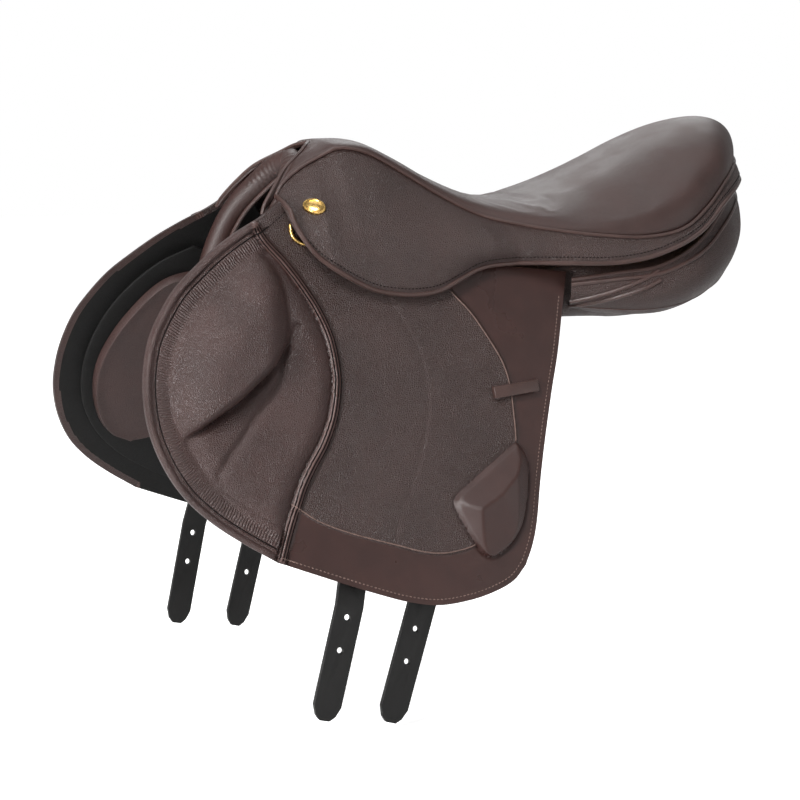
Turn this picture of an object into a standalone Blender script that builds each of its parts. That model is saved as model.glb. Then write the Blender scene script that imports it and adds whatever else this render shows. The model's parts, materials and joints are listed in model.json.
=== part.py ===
"""English jumping saddle with a single padded flap each side and long girth straps.

The frame: X runs from the pommel to the cantle, Y from the near (left) side to the off side,
Z up. The origin lies on the mid-plane, on the bearing line of the panels, under the deepest
point of the seat. All sizes are in metres.
"""

import math

import bmesh
import bpy
from mathutils import Vector

# ---- driving dimensions -------------------------------------------------------------------
GAP = 0.0004                 # air left between touching pieces
FLAP_HALF_WIDTH = 0.101      # outer face of the flap from the mid-plane, at Z = 0
FLAP_SPREAD = 0.445          # how far the flaps splay outwards per metre of drop
FLAP_LEATHER = 0.0045
SWEAT_FLAP_DEPTH = 0.0112    # sweat flap's outer face, inside the flap's outer face
SWEAT_FLAP_LEATHER = 0.0025
SKIRT_LEATHER = 0.004
SEAT_LEATHER = 0.003
BILLET_DEPTH = 0.0054        # billet's outer face, inside the flap's outer face
BILLET_LEATHER = 0.0045
BILLET_WIDTH = 0.023
HOLE_RADIUS = 0.0028
HOLE_SPACING = 0.0276
HOLES_PER_BILLET = 6
GIRTH_WEB = 0.0022
RING_WIRE = 0.0018          # half thickness of the front D ring's wire
SIDES = {"near": -1, "off": 1}

# X, half width of the seat, height of its lower edge, height of its top on the mid-plane
SEAT_STATIONS = (
    (-0.168, 0.040, 0.120, 0.131),
    (-0.150, 0.049, 0.127, 0.1355),
    (-0.120, 0.050, 0.123, 0.134),
    (-0.090, 0.054, 0.107, 0.120),
    (-0.060, 0.064, 0.088, 0.103),
    (-0.030, 0.077, 0.072, 0.090),
    (0.000, 0.090, 0.062, 0.0835),
    (0.035, 0.104, 0.056, 0.082),
    (0.070, 0.117, 0.053, 0.090),
    (0.105, 0.126, 0.054, 0.103),
    (0.140, 0.127, 0.060, 0.119),
    (0.170, 0.117, 0.069, 0.134),
    (0.200, 0.098, 0.080, 0.146),
    (0.225, 0.069, 0.089, 0.151),
    (0.243, 0.040, 0.094, 0.147),
    (0.2545, 0.017, 0.097, 0.138),
)


# ---- shared construction ------------------------------------------------------------------
def clear_scene():
    for old in list(bpy.data.objects):
        bpy.data.objects.remove(old, do_unlink=True)


def make_material(name, colour, roughness, metallic=0.0):
    material = bpy.data.materials.new(name)
    material.use_nodes = True
    shader = material.node_tree.nodes["Principled BSDF"]
    shader.inputs["Base Color"].default_value = (*colour, 1.0)
    shader.inputs["Roughness"].default_value = roughness
    shader.inputs["Metallic"].default_value = metallic
    return material


def add_object(name, bm, material, pivot=(0.0, 0.0, 0.0)):
    """Closes the mesh off as an object whose origin is its pivot."""
    bmesh.ops.recalc_face_normals(bm, faces=bm.faces)
    bmesh.ops.translate(bm, verts=bm.verts, vec=-Vector(pivot))
    mesh = bpy.data.meshes.new(name)
    bm.to_mesh(mesh)
    bm.free()
    mesh.shade_smooth()
    mesh.set_sharp_from_angle(angle=math.radians(35))
    mesh.materials.append(material)
    made = bpy.data.objects.new(name, mesh)
    made.location = pivot
    bpy.context.scene.collection.objects.link(made)
    return made


def loft(name, rings, material, pivot=(0.0, 0.0, 0.0)):
    """A closed solid through rings of equally many points, capped at both ends."""
    bm = bmesh.new()
    rows = [[bm.verts.new(point) for point in ring] for ring in rings]
    count = len(rows[0])
    for row, after in zip(rows, rows[1:]):
        for i in range(count):
            j = (i + 1) % count
            bm.faces.new((row[i], row[j], after[j], after[i]))
    bm.faces.new(rows[0])
    bm.faces.new(rows[-1])
    return add_object(name, bm, material, pivot)


def extrude_face(bm, points, travel):
    """A prism: the face through the points, pushed along travel."""
    base = bm.faces.new([bm.verts.new(point) for point in points])
    grown = bmesh.ops.extrude_face_region(bm, geom=[base])
    moved = [item for item in grown["geom"] if isinstance(item, bmesh.types.BMVert)]
    bmesh.ops.translate(bm, verts=moved, vec=travel)


def prism(name, points, travel, material, pivot=(0.0, 0.0, 0.0)):
    bm = bmesh.new()
    extrude_face(bm, points, travel)
    return add_object(name, bm, material, pivot)


def cut(target, cutter):
    modifier = target.modifiers.new("cut", "BOOLEAN")
    modifier.operation = "DIFFERENCE"
    modifier.object = cutter
    cutter.hide_render = True
    cutter.display_type = "WIRE"


def curve_through(points, steps):
    """A smooth curve through the points, with this many steps between each pair."""
    smooth = []
    padded = [points[0], *points, points[-1]]
    for before, start, end, after in zip(padded, padded[1:], padded[2:], padded[3:]):
        for step in range(steps):
            t = step / steps
            smooth.append(
                tuple(
                    0.5 * (2 * b + (c - a) * t + (2 * a - 5 * b + 4 * c - d) * t * t
                           + (3 * b - a - 3 * c + d) * t ** 3)
                    for a, b, c, d in zip(before, start, end, after)
                )
            )
    smooth.append(tuple(points[-1]))
    return smooth


def station_at(x):
    """Half width, lower edge height and top height of the seat at X."""
    first, last = SEAT_STATIONS[0], SEAT_STATIONS[-1]
    if x <= first[0]:
        return first[1:]
    for low, high in zip(SEAT_STATIONS, SEAT_STATIONS[1:]):
        if x <= high[0]:
            t = (x - low[0]) / (high[0] - low[0])
            return tuple(a + (b - a) * t for a, b in zip(low[1:], high[1:]))
    return last[1:]


def stations_between(start, end):
    """Start, every seat station between, and end."""
    return [start, *(x for x, *_ in SEAT_STATIONS if start + 0.004 < x < end - 0.004), end]


def flap_y(z):
    """Distance of the flap's outer face from the mid-plane."""
    return FLAP_HALF_WIDTH - FLAP_SPREAD * z


def on_flap(side, depth, outline):
    """Outline points (X, Z) set on the flap's plane, depth metres inside its outer face."""
    return [(x, side * (flap_y(z) - depth), z) for x, z in outline]


def flap_inward(side, thickness):
    """The step that gives a plate on the flap's plane its thickness, towards the mid-plane."""
    return Vector((0.0, -side * thickness, 0.0))


# ---- the tree: the saddle's rigid frame ---------------------------------------------------
TREE_FRONT, HEAD_BACK, CANTLE_FRONT, TREE_BACK = -0.160, -0.094, 0.105, 0.236
TREE_EDGE = 0.010            # the tree stops this far inside the seat's edge
TREE_THICKNESS = 0.015


RAIL_INNER_AT_HEAD, RAIL_INNER_SPREAD, RAIL_SPREAD_START = 0.022, 0.06, -0.09
WEB_TO_RAIL = 0.0015


def rail_inner(x):
    """Distance of a rail's inner edge from the mid-plane; the rails spread towards the cantle."""
    return RAIL_INNER_AT_HEAD + RAIL_INNER_SPREAD * max(x - RAIL_SPREAD_START, 0.0)


def tree_rail(side_name, side, material):
    rings = []
    for x in stations_between(HEAD_BACK + 2 * GAP, CANTLE_FRONT - 2 * GAP):
        half_width, edge, _ = station_at(x)
        top = edge - GAP
        inner = rail_inner(x)
        outer = half_width - TREE_EDGE
        rings.append([
            (x, side * inner, top), (x, side * outer, top),
            (x, side * outer, top - 0.8 * TREE_THICKNESS),
            (x, side * (inner + 0.004), top - TREE_THICKNESS),
        ])
    loft(f"tree_rail_{side_name}", rings, material)


def tree_cantle(material):
    rings = []
    for x in stations_between(CANTLE_FRONT, TREE_BACK):
        half_width, edge, _ = station_at(x)
        outer = half_width - TREE_EDGE
        top, bottom = edge - GAP, edge - TREE_THICKNESS
        rings.append([
            (x, -outer, top), (x, outer, top), (x, outer, bottom),
            (x, 0.5 * outer, bottom + 0.003), (x, -0.5 * outer, bottom + 0.003),
            (x, -outer, bottom),
        ])
    loft("tree_cantle", rings, material)


HEAD_ARCH_OUTER = ((0.0675, 0.038), (0.0605, 0.062), (0.050, 0.088), (0.038, 0.107), (0.020, 0.1155))
HEAD_ARCH_INNER = ((0.0560, 0.036), (0.0490, 0.058), (0.040, 0.076), (0.027, 0.092), (0.012, 0.099))


def mirrored_arch(half):
    """A closed outline across the mid-plane from the points (Y, Z) of its off side."""
    outer, inner = half
    over = [(y, z) for y, z in outer] + [(-y, z) for y, z in reversed(outer)]
    under = [(-y, z) for y, z in inner] + [(y, z) for y, z in reversed(inner)]
    return over + under


def tree_head(material):
    outline = mirrored_arch((HEAD_ARCH_OUTER, HEAD_ARCH_INNER))
    points = [(TREE_FRONT, y, z) for y, z in outline]
    prism("tree_head", points, (HEAD_BACK - TREE_FRONT, 0.0, 0.0), material)


HEAD_PLATE = 0.005
SCREW_PLACE = (0.0505, 0.068)
SCREW_RADIUS, SCREW_LENGTH, SCREW_STAND = 0.0045, 0.0026, 0.0068
SOCKET_RADIUS, SOCKET_LENGTH, SOCKET_AHEAD = 0.0022, 0.0034, 0.002


def gullet_plate(material):
    """The steel head plate, screwed to the front of the head."""
    outline = mirrored_arch((
        ((0.0665, 0.040), (0.0595, 0.062), (0.049, 0.087), (0.037, 0.1055), (0.020, 0.1140)),
        ((0.0535, 0.038), (0.0465, 0.058), (0.0380, 0.075), (0.026, 0.090), (0.012, 0.0965)),
    ))
    points = [(TREE_FRONT - GAP, y, z) for y, z in outline]
    plate = prism("gullet_plate", points, (-HEAD_PLATE, 0.0, 0.0), material)
    for side_name, side in SIDES.items():
        centre = (TREE_FRONT - GAP - SCREW_STAND, side * SCREW_PLACE[0], SCREW_PLACE[1])
        screw = turned(f"gullet_screw_{side_name}", centre, SCREW_RADIUS, SCREW_LENGTH, material)
        socket = turned(f"gullet_screw_socket_{side_name}", (centre[0] - SOCKET_AHEAD, *centre[1:]),
                        SOCKET_RADIUS, SOCKET_LENGTH, material, segments=6)
        cut(screw, socket)
    return plate


def turned(name, centre, radius, length, material, segments=16):
    """A round solid whose axis runs along X."""
    bm = bmesh.new()
    bmesh.ops.create_cone(bm, cap_ends=True, segments=segments, radius1=radius, radius2=radius,
                          depth=length)
    for vert in bm.verts:
        x, y, z = vert.co
        vert.co = (z + centre[0], y + centre[1], x + centre[2])
    return add_object(name, bm, material)


# ---- stirrup bars -------------------------------------------------------------------------
BAR_FRONT, BAR_BACK = -0.150, -0.072
BAR_BOTTOM, BAR_TOP = 0.050, 0.059
BAR_PLATE_IN, BAR_PLATE_OUT = 0.0690, 0.0722
BAR_IN, BAR_OUT = 0.0826, 0.0888
CATCH_PIVOT = (-0.0655, 0.0772, 0.0510)
CATCH_HALF_WIDTH = 0.0046


def stirrup_bar(side_name, side, material):
    """A forged J: the plate riveted to the tree, the neck in front, and the bar open behind."""
    outline = [
        (BAR_BACK + 0.002, BAR_PLATE_IN), (BAR_FRONT - 0.010, BAR_PLATE_IN),
        (BAR_FRONT - 0.010, BAR_OUT - 0.004), (BAR_FRONT - 0.006, BAR_OUT),
        (BAR_BACK, BAR_OUT), (BAR_BACK, BAR_IN),
        (BAR_FRONT, BAR_IN), (BAR_FRONT, BAR_PLATE_OUT), (BAR_BACK + 0.002, BAR_PLATE_OUT),
    ]
    points = [(x, side * y, BAR_BOTTOM) for x, y in outline]
    prism(f"stirrup_bar_{side_name}", points, (0.0, 0.0, BAR_TOP - BAR_BOTTOM), material)


def bar_catch(side_name, side, material):
    """The thumb piece that closes the bar's open end and folds down to free the leather."""
    x, y, z = CATCH_PIVOT
    profile = [
        (x - 0.0035, z - 0.0030), (x + 0.0020, z - 0.0030), (x + 0.0032, z + 0.0040),
        (x + 0.0032, z + 0.0110), (x - 0.0010, z + 0.0110), (x - 0.0035, z + 0.0040),
    ]
    points = [(px, side * (y - CATCH_HALF_WIDTH), pz) for px, pz in profile]
    travel = (0.0, side * 2 * CATCH_HALF_WIDTH, 0.0)
    prism(f"bar_catch_{side_name}", points, travel, material, pivot=(x, side * y, z))


# ---- seat ---------------------------------------------------------------------------------
DOME_STEPS = 8
FOAM_FRONT, FOAM_BACK = -0.088, 0.235
FOAM_CLEARANCE = 0.0030


def dome(x, inset, drop=0.0):
    """Points over the seat at X, from the near edge to the off edge, inset from its skin."""
    half_width, edge, top = station_at(x)
    half_width -= inset
    rise = max(top - inset - edge, 0.002)
    points = []
    for step in range(DOME_STEPS + 1):
        angle = math.pi * (step / DOME_STEPS - 0.5)
        across, up = math.sin(angle), max(math.cos(angle), 0.0)
        points.append((x, half_width * across, edge + drop + (rise - drop) * up ** 0.75))
    return points


def seat_cover(material):
    rings = []
    for x, *_ in SEAT_STATIONS:
        rings.append(dome(x, 0.0) + list(reversed(dome(x, SEAT_LEATHER))))
    loft("seat_cover", rings, material)


def seat_foam(material):
    inset = SEAT_LEATHER + FOAM_CLEARANCE
    rings = [dome(x, inset, GAP) for x in stations_between(FOAM_FRONT, FOAM_BACK)]
    loft("seat_foam", rings, material)


def seat_webbing(material):
    """The strainer web pulled tight from the head to the cantle, between the rails."""
    rings = []
    for x in stations_between(HEAD_BACK + 2 * GAP, CANTLE_FRONT - 2 * GAP):
        _, edge, _ = station_at(x)
        inner = rail_inner(x) - WEB_TO_RAIL
        top = edge - GAP
        rings.append([(x, -inner, top), (x, inner, top),
                      (x, inner, top - GIRTH_WEB), (x, -inner, top - GIRTH_WEB)])
    loft("seat_webbing", rings, material)


# ---- pommel facing ------------------------------------------------------------------------
FACING_PATH = (
    (-0.2330, 0.0540, 0.020), (-0.2240, 0.0500, 0.048), (-0.2120, 0.0440, 0.074),
    (-0.1960, 0.0290, 0.0975), (-0.1860, 0.0000, 0.1110),
)
FACING_RADIUS = 0.0115


def pommel_facing(material):
    """The padded leather roll that arches over the withers in front of the head."""
    half = [Vector(point) for point in FACING_PATH]
    path = half + [Vector((p.x, -p.y, p.z)) for p in reversed(half[:-1])]
    path = [Vector(p) for p in curve_through([tuple(p) for p in path], 2)]
    rings = []
    for i, point in enumerate(path):
        ahead = (path[min(i + 1, len(path) - 1)] - path[max(i - 1, 0)]).normalized()
        forward = Vector((1.0, 0.0, 0.0))
        outward = ahead.cross(forward).normalized()
        forward = outward.cross(ahead).normalized()
        ends = min(i, len(path) - 1 - i)
        radius = FACING_RADIUS * (0.62, 0.85)[ends] if ends < 2 else FACING_RADIUS
        ring = []
        for step in range(10):
            angle = 2 * math.pi * step / 10
            ring.append(point + radius * (math.cos(angle) * outward + math.sin(angle) * forward))
        rings.append(ring)
    loft("pommel_facing", rings, material)


# ---- panels -------------------------------------------------------------------------------
# X; then (Y, Z) of the inner foot, outer foot, side wall, shoulder and inner top
PANEL_STATIONS = (
    (-0.205, (0.037, 0.012), (0.050, -0.006), (0.0525, 0.014), (0.0520, 0.032), (0.040, 0.038)),
    (-0.185, (0.034, 0.008), (0.060, -0.014), (0.0600, 0.008), (0.0560, 0.028), (0.036, 0.034)),
    (-0.150, (0.032, 0.004), (0.068, -0.018), (0.0670, 0.006), (0.0600, 0.028), (0.033, 0.034)),
    (-0.100, (0.032, 0.000), (0.074, -0.020), (0.0720, 0.008), (0.0650, 0.031), (0.033, 0.034)),
    (-0.050, (0.032, -0.003), (0.076, -0.020), (0.0740, 0.008), (0.0680, 0.034), (0.033, 0.042)),
    (0.000, (0.032, -0.008), (0.078, -0.018), (0.0760, 0.008), (0.0690, 0.033), (0.033, 0.042)),
    (0.040, (0.032, -0.013), (0.082, -0.016), (0.0830, 0.006), (0.0780, 0.026), (0.035, 0.037)),
    (0.075, (0.032, -0.016), (0.090, -0.015), (0.1140, 0.004), (0.1180, 0.021), (0.040, 0.035)),
    (0.110, (0.032, -0.018), (0.098, -0.014), (0.1260, 0.005), (0.1300, 0.023), (0.045, 0.036)),
    (0.145, (0.032, -0.017), (0.100, -0.010), (0.1310, 0.010), (0.1300, 0.029), (0.045, 0.042)),
    (0.175, (0.032, -0.013), (0.098, -0.004), (0.1260, 0.018), (0.1190, 0.039), (0.042, 0.050)),
    (0.203, (0.032, -0.006), (0.088, 0.004), (0.1090, 0.026), (0.0990, 0.049), (0.036, 0.060)),
    (0.226, (0.032, 0.004), (0.068, 0.014), (0.0830, 0.034), (0.0710, 0.057), (0.032, 0.067)),
    (0.241, (0.032, 0.022), (0.048, 0.026), (0.0560, 0.040), (0.0500, 0.056), (0.032, 0.060)),
)


def panel(side_name, side, material):
    """One wool-filled cushion, from the withers to the back of the saddle."""
    rings = []
    for x, inner_foot, outer_foot, wall, shoulder, inner_top in PANEL_STATIONS:
        foot = ((inner_foot[0] + outer_foot[0]) / 2, min(inner_foot[1], outer_foot[1]) - 0.003)
        rings.append([(x, side * y, z) for y, z in
                      (inner_foot, foot, outer_foot, wall, shoulder, inner_top)])
    loft(f"panel_{side_name}", rings, material)


TONGUE_OUTLINE = (
    (-0.222, 0.022), (-0.262, 0.012), (-0.292, -0.018), (-0.310, -0.050), (-0.315, -0.078),
    (-0.309, -0.107), (-0.296, -0.127), (-0.276, -0.136), (-0.252, -0.131), (-0.215, -0.110),
    (-0.170, -0.075), (-0.120, -0.045), (-0.120, -0.026), (-0.205, -0.020),
)
TONGUE_DEPTH, TONGUE_THICKNESS = 0.0150, 0.012


def panel_tongue(side_name, side, material):
    """The thin forward part of the panel, which lies under the knee."""
    points = on_flap(side, TONGUE_DEPTH, TONGUE_OUTLINE)
    prism(f"panel_tongue_{side_name}", points, flap_inward(side, TONGUE_THICKNESS), material)


# ---- flaps --------------------------------------------------------------------------------
# The flap bends along a line that drops towards the back, just below the skirt.
FLAP_HINGE_FRONT = (-0.3000, 0.0275)
FLAP_HINGE_BACK = (0.0510, -0.0245)
FLAP_LOWER = (
    (-0.324, 0.001), (-0.336, -0.018), (-0.344, -0.042), (-0.347, -0.068), (-0.3455, -0.092),
    (-0.338, -0.118), (-0.325, -0.138), (-0.306, -0.156), (-0.283, -0.174), (-0.256, -0.190),
    (-0.228, -0.202), (-0.192, -0.216), (-0.152, -0.228), (-0.112, -0.233), (-0.080, -0.228),
    (-0.056, -0.219), (-0.040, -0.205), (-0.029, -0.184), (-0.015, -0.144), (0.002, -0.098),
    (0.024, -0.044),
)
FLAP_UPPER = (
    (0.0465, 0.019), (-0.055, 0.028), (-0.168, 0.034), (-0.182, 0.078), (-0.203, 0.089),
    (-0.226, 0.072), (-0.256, 0.058), (-0.280, 0.044),
)
HINGE_GAP = 0.0004


def flap(side_name, side, leather, pad):
    """The outer flap: its upper part is nailed to the tree, its lower part lifts."""
    front, back = FLAP_HINGE_FRONT, FLAP_HINGE_BACK
    raised = [(back[0] - 0.0012, back[1] + HINGE_GAP), *FLAP_UPPER,
              (front[0] + 0.001, front[1] + HINGE_GAP)]
    travel = flap_inward(side, FLAP_LEATHER)
    prism(f"flap_top_{side_name}", on_flap(side, 0.0, raised), travel, leather)

    lower = [(front[0] - 0.0005, front[1] - HINGE_GAP), *FLAP_LOWER,
             (back[0] - 0.016, back[1] - HINGE_GAP + 0.0024)]
    pivot = on_flap(side, 0.0, [((front[0] + back[0]) / 2, (front[1] + back[1]) / 2)])[0]
    prism(f"flap_{side_name}", on_flap(side, 0.0, lower), travel, leather, pivot)
    flap_pad(f"knee_block_{side_name}", side, KNEE_BLOCK, KNEE_CROWN, pad, pivot)
    flap_pad(f"calf_block_{side_name}", side, CALF_BLOCK, CALF_CROWN, pad, pivot)
    keeper(side_name, side, leather, pivot)


# The pads' outlines on the flap, then the outline of their raised crown: X, Z, height
KNEE_BLOCK = (
    (-0.250, 0.0185), (-0.223, 0.0140), (-0.216, -0.010), (-0.222, -0.034), (-0.238, -0.052),
    (-0.268, -0.076), (-0.298, -0.094), (-0.321, -0.102), (-0.326, -0.080), (-0.320, -0.050),
    (-0.306, -0.020), (-0.284, 0.006),
)
KNEE_CROWN = (
    (-0.252, 0.010, 0.009), (-0.236, 0.004, 0.014), (-0.234, -0.014, 0.021),
    (-0.243, -0.032, 0.023), (-0.256, -0.048, 0.023), (-0.276, -0.066, 0.022),
    (-0.295, -0.078, 0.019), (-0.306, -0.080, 0.016), (-0.308, -0.066, 0.013),
    (-0.303, -0.044, 0.012), (-0.291, -0.018, 0.010), (-0.274, 0.000, 0.008),
)
CALF_BLOCK = (
    (-0.032, -0.113), (-0.025, -0.124), (-0.026, -0.142), (-0.034, -0.165), (-0.046, -0.184),
    (-0.062, -0.195), (-0.078, -0.194), (-0.090, -0.178), (-0.096, -0.155), (-0.078, -0.140),
    (-0.052, -0.124),
)
CALF_CROWN = (
    (-0.036, -0.120, 0.012), (-0.032, -0.127, 0.014), (-0.033, -0.142, 0.015),
    (-0.041, -0.162, 0.014), (-0.050, -0.176, 0.012), (-0.063, -0.184, 0.010),
    (-0.073, -0.183, 0.009), (-0.078, -0.172, 0.012), (-0.076, -0.158, 0.018),
    (-0.062, -0.146, 0.019), (-0.048, -0.130, 0.015),
)


def flap_pad(name, side, outline, crown, material, pivot):
    """A block on the flap's outer face: flat underneath, crowned on top."""
    base = on_flap(side, -GAP, outline)
    foot = on_flap(side, -GAP - 0.003, outline)
    top = [(x, side * (flap_y(z) + height), z) for x, z, height in crown]
    loft(name, [base, foot, top], material, pivot)


KEEPER_LENGTH, KEEPER_WIDTH, KEEPER_LIFT = 0.042, 0.0095, 0.0055
KEEPER_LEATHER, KEEPER_LEG, KEEPER_SLOPE = 0.002, 0.004, 0.10
KEEPER_PLACE = (-0.0450, -0.0675)


def keeper(side_name, side, material, pivot):
    """The leather loop on the flap that holds the spare end of the stirrup leather."""
    x0, z0 = KEEPER_PLACE
    far_leg, under = KEEPER_LENGTH - KEEPER_LEG, KEEPER_LIFT - KEEPER_LEATHER
    outline = ((0.0, 0.0), (0.0, KEEPER_LIFT), (KEEPER_LENGTH, KEEPER_LIFT), (KEEPER_LENGTH, 0.0),
               (far_leg, 0.0), (far_leg, under), (KEEPER_LEG, under), (KEEPER_LEG, 0.0))
    points = []
    for along, lift in outline:
        z = z0 + KEEPER_SLOPE * along
        points.append((x0 + along, side * (flap_y(z) + GAP + lift), z))
    drop = Vector((0.0, side * FLAP_SPREAD * KEEPER_WIDTH, -KEEPER_WIDTH))
    prism(f"keeper_{side_name}", points, drop, material, pivot)


SWEAT_FLAP = (
    (-0.236, 0.042), (-0.266, 0.028), (-0.292, 0.006), (-0.312, -0.022), (-0.3235, -0.056),
    (-0.3225, -0.092), (-0.308, -0.124), (-0.282, -0.150), (-0.246, -0.172), (-0.205, -0.188),
    (-0.160, -0.198), (-0.118, -0.200), (-0.080, -0.190), (-0.056, -0.168), (-0.040, -0.130),
    (-0.022, -0.080), (0.000, -0.030), (0.024, 0.010), (-0.060, 0.016), (-0.170, 0.018),
)


def sweat_flap(side_name, side, material):
    """The thin inner flap between the girth straps and the horse."""
    points = on_flap(side, SWEAT_FLAP_DEPTH, SWEAT_FLAP)
    prism(f"sweat_flap_{side_name}", points, flap_inward(side, SWEAT_FLAP_LEATHER), material)


# ---- girth straps -------------------------------------------------------------------------
# X of the strap's root, and how far its foot leans forward per metre of drop
BILLETS = {"front": (-0.1475, 0.2204), "back": (-0.0720, 0.2680)}
BILLET_ROOT_Z = -0.012
BILLET_BEND_Z = -0.217       # below this the strap hangs free of the flap's slope
BILLET_FOOT = {"front": -0.322, "back": -0.330}
FIRST_HOLE_Z = {"front": -0.1577, "back": -0.1730}
WEB_TOP_Z = 0.016
BILLET_LEAN_IN = 0.05        # how far the free end leans inwards per metre of drop


def billet_point(side, which, z, depth):
    """The middle of the strap at height Z, depth metres inside its outer face."""
    root_x, lean = BILLETS[which]
    y = flap_y(max(z, BILLET_BEND_Z)) - BILLET_DEPTH - depth
    y -= BILLET_LEAN_IN * max(BILLET_BEND_Z - z, 0.0)
    return Vector((root_x + lean * z, side * y, z))


def billet(side_name, side, which, material, cutter_material):
    name = f"billet_{side_name}_{which}"
    foot = BILLET_FOOT[which]
    lean = BILLETS[which][1]
    across = Vector((1.0, side * FLAP_SPREAD * lean, -lean)).normalized()
    levels = ((BILLET_ROOT_Z, 1.0), (BILLET_BEND_Z + 0.012, 1.0), (BILLET_BEND_Z - 0.012, 1.0),
              (foot + 0.012, 1.0), (foot + 0.004, 0.72), (foot, 0.36))
    rings = []
    for z, share in levels:
        half = across * (BILLET_WIDTH / 2 * share)
        outer = billet_point(side, which, z, 0.0)
        inner = billet_point(side, which, z, BILLET_LEATHER)
        rings.append([outer - half, outer + half, inner + half, inner - half])
    pivot = billet_point(side, which, BILLET_ROOT_Z, BILLET_LEATHER / 2)
    strap = loft(name, rings, material, pivot)
    punch = bmesh.new()
    for hole in range(HOLES_PER_BILLET):
        z = FIRST_HOLE_Z[which] - hole * HOLE_SPACING * 0.97
        centre = billet_point(side, which, z, BILLET_LEATHER / 2)
        made = bmesh.ops.create_cone(punch, cap_ends=True, segments=10, radius1=HOLE_RADIUS,
                                     radius2=HOLE_RADIUS, depth=0.03)
        for vert in made["verts"]:
            x, y, up = vert.co
            vert.co = centre + x * across + Vector((0.0, up, y))
    holes = add_object(f"{name}_punch", punch, cutter_material)
    cut(strap, holes)


def girth_web(which, material):
    """The web that runs over both rails under the seat and carries one strap each side."""
    x, _ = BILLETS[which]
    half = BILLET_WIDTH / 2
    outer = [(flap_y(z) - BILLET_DEPTH, z) for z in (BILLET_ROOT_Z + 0.004, WEB_TOP_Z)]
    inner = [(y - GIRTH_WEB, z) for y, z in outer]
    for side_name, side in SIDES.items():
        run = outer + list(reversed(inner))
        points = [(x - half, side * y, z) for y, z in run]
        prism(f"girth_web_{side_name}_{which}", points, (2 * half, 0.0, 0.0), material)


# ---- skirts -------------------------------------------------------------------------------
SKIRT_FRONT = -0.2050
LOBE_BACK = -0.0300
SKIRT_HINGE = ((-0.2050, 0.0760), (-0.0300, 0.0310))
SKIRT_HINGE_Y = (0.0930, 0.1070)    # a straight line just outside the swell, front and back
SKIRT_STAND_OFF = 0.009      # outer face of the skirt's lower edge from the flap's outer face
FRONT_STAND_OFF = 0.016      # the same at the front, where the skirt rides over the D ring
SKIRT_BULGE = 0.0165         # how far the skirt swells over the stirrup bar
STRIP_HEIGHT = 0.0245
LOBE_LOWER = (
    (-0.2050, 0.0740), (-0.199, 0.064), (-0.190, 0.049), (-0.176, 0.034), (-0.158, 0.0225),
    (-0.138, 0.013), (-0.117, 0.0085), (-0.098, 0.0085), (-0.080, 0.0115), (-0.062, 0.0185),
    (-0.046, 0.026), (-0.0305, 0.0300),
)


def along(table, x):
    """Height read off a list of (X, Z) points at X."""
    for (x0, z0), (x1, z1) in zip(table, table[1:]):
        if x <= x1:
            return z0 + (z1 - z0) * max(x - x0, 0.0) / (x1 - x0)
    return table[-1][1]


def skirt_top(x):
    """Distance and height of the skirt's upper edge, just under the seat's edge."""
    half_width, edge, _ = station_at(max(x, -0.168))
    fall = max(-0.168 - x, 0.0)
    return half_width + 0.0006 + 0.45 * fall, edge - 0.001 - 0.55 * fall


def skirt_y(x, z):
    """Distance of the skirt's outer face from the mid-plane."""
    top_y, top_z = skirt_top(x)
    low_z = along(LOBE_LOWER, x) if x < LOBE_BACK else top_z - STRIP_HEIGHT
    front = min(max((-0.140 - x) / 0.035, 0.0), 1.0)
    stand_off = SKIRT_STAND_OFF + (FRONT_STAND_OFF - SKIRT_STAND_OFF) * front
    low_y = max(flap_y(low_z) + stand_off, top_y + 0.008) if x < 0.06 else top_y + 0.008
    t = (z - low_z) / (top_z - low_z)
    swell = SKIRT_BULGE if x < LOBE_BACK else SKIRT_BULGE * max(1 - (x - LOBE_BACK) / 0.07, 0.15)
    ends = min(max((x - SKIRT_FRONT) / 0.03, 0.7), 1.0)
    return low_y + (top_y - low_y) * t + swell * ends * math.sin(math.pi * min(max(t, 0), 1))


def skirt_ring(side, x, low, high, steps=3):
    heights = [low + (high - low) * i / steps for i in range(steps + 1)]
    outer = [(x, side * skirt_y(x, z), z) for z in heights]
    inner = [(x, side * (skirt_y(x, z) - SKIRT_LEATHER), z) for z in reversed(heights)]
    return outer + inner


def skirt(side_name, side, leather):
    """The skirt: one strip from the head to the middle of the cantle, and the lobe that lifts."""
    rings = []
    for x in (-0.205, -0.19, -0.17, -0.145, -0.115, -0.09, -0.06, -0.03, 0.0, 0.035, 0.07, 0.105,
              0.14, 0.17, 0.20, 0.225, 0.243, 0.2545):
        _, top_z = skirt_top(x)
        low = along(SKIRT_HINGE, x) + GAP if x < LOBE_BACK + 0.001 else top_z - STRIP_HEIGHT
        rings.append(skirt_ring(side, x, low, top_z))
    loft(f"skirt_{side_name}", rings, leather)

    rings = []
    for x in (-0.2045, -0.199, -0.190, -0.176, -0.158, -0.138, -0.117, -0.098, -0.080, -0.062,
              -0.046, -0.034):
        rings.append(skirt_ring(side, x, along(LOBE_LOWER, x), along(SKIRT_HINGE, x) - GAP, 2))
    middle_x = (SKIRT_HINGE[0][0] + SKIRT_HINGE[1][0]) / 2
    middle_z = (SKIRT_HINGE[0][1] + SKIRT_HINGE[1][1]) / 2
    pivot = (middle_x, side * sum(SKIRT_HINGE_Y) / 2, middle_z)
    loft(f"skirt_lobe_{side_name}", rings, leather, pivot)


# ---- brass fittings -----------------------------------------------------------------------
NAIL_CENTRE = (-0.187, 0.0905)
NAIL_HALF_LENGTH, NAIL_HALF_HEIGHT, NAIL_THICKNESS = 0.0105, 0.0070, 0.0020
NAIL_STAND, NAIL_RIM, NAIL_FACE = 0.0026, 0.0012, 0.82


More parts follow.
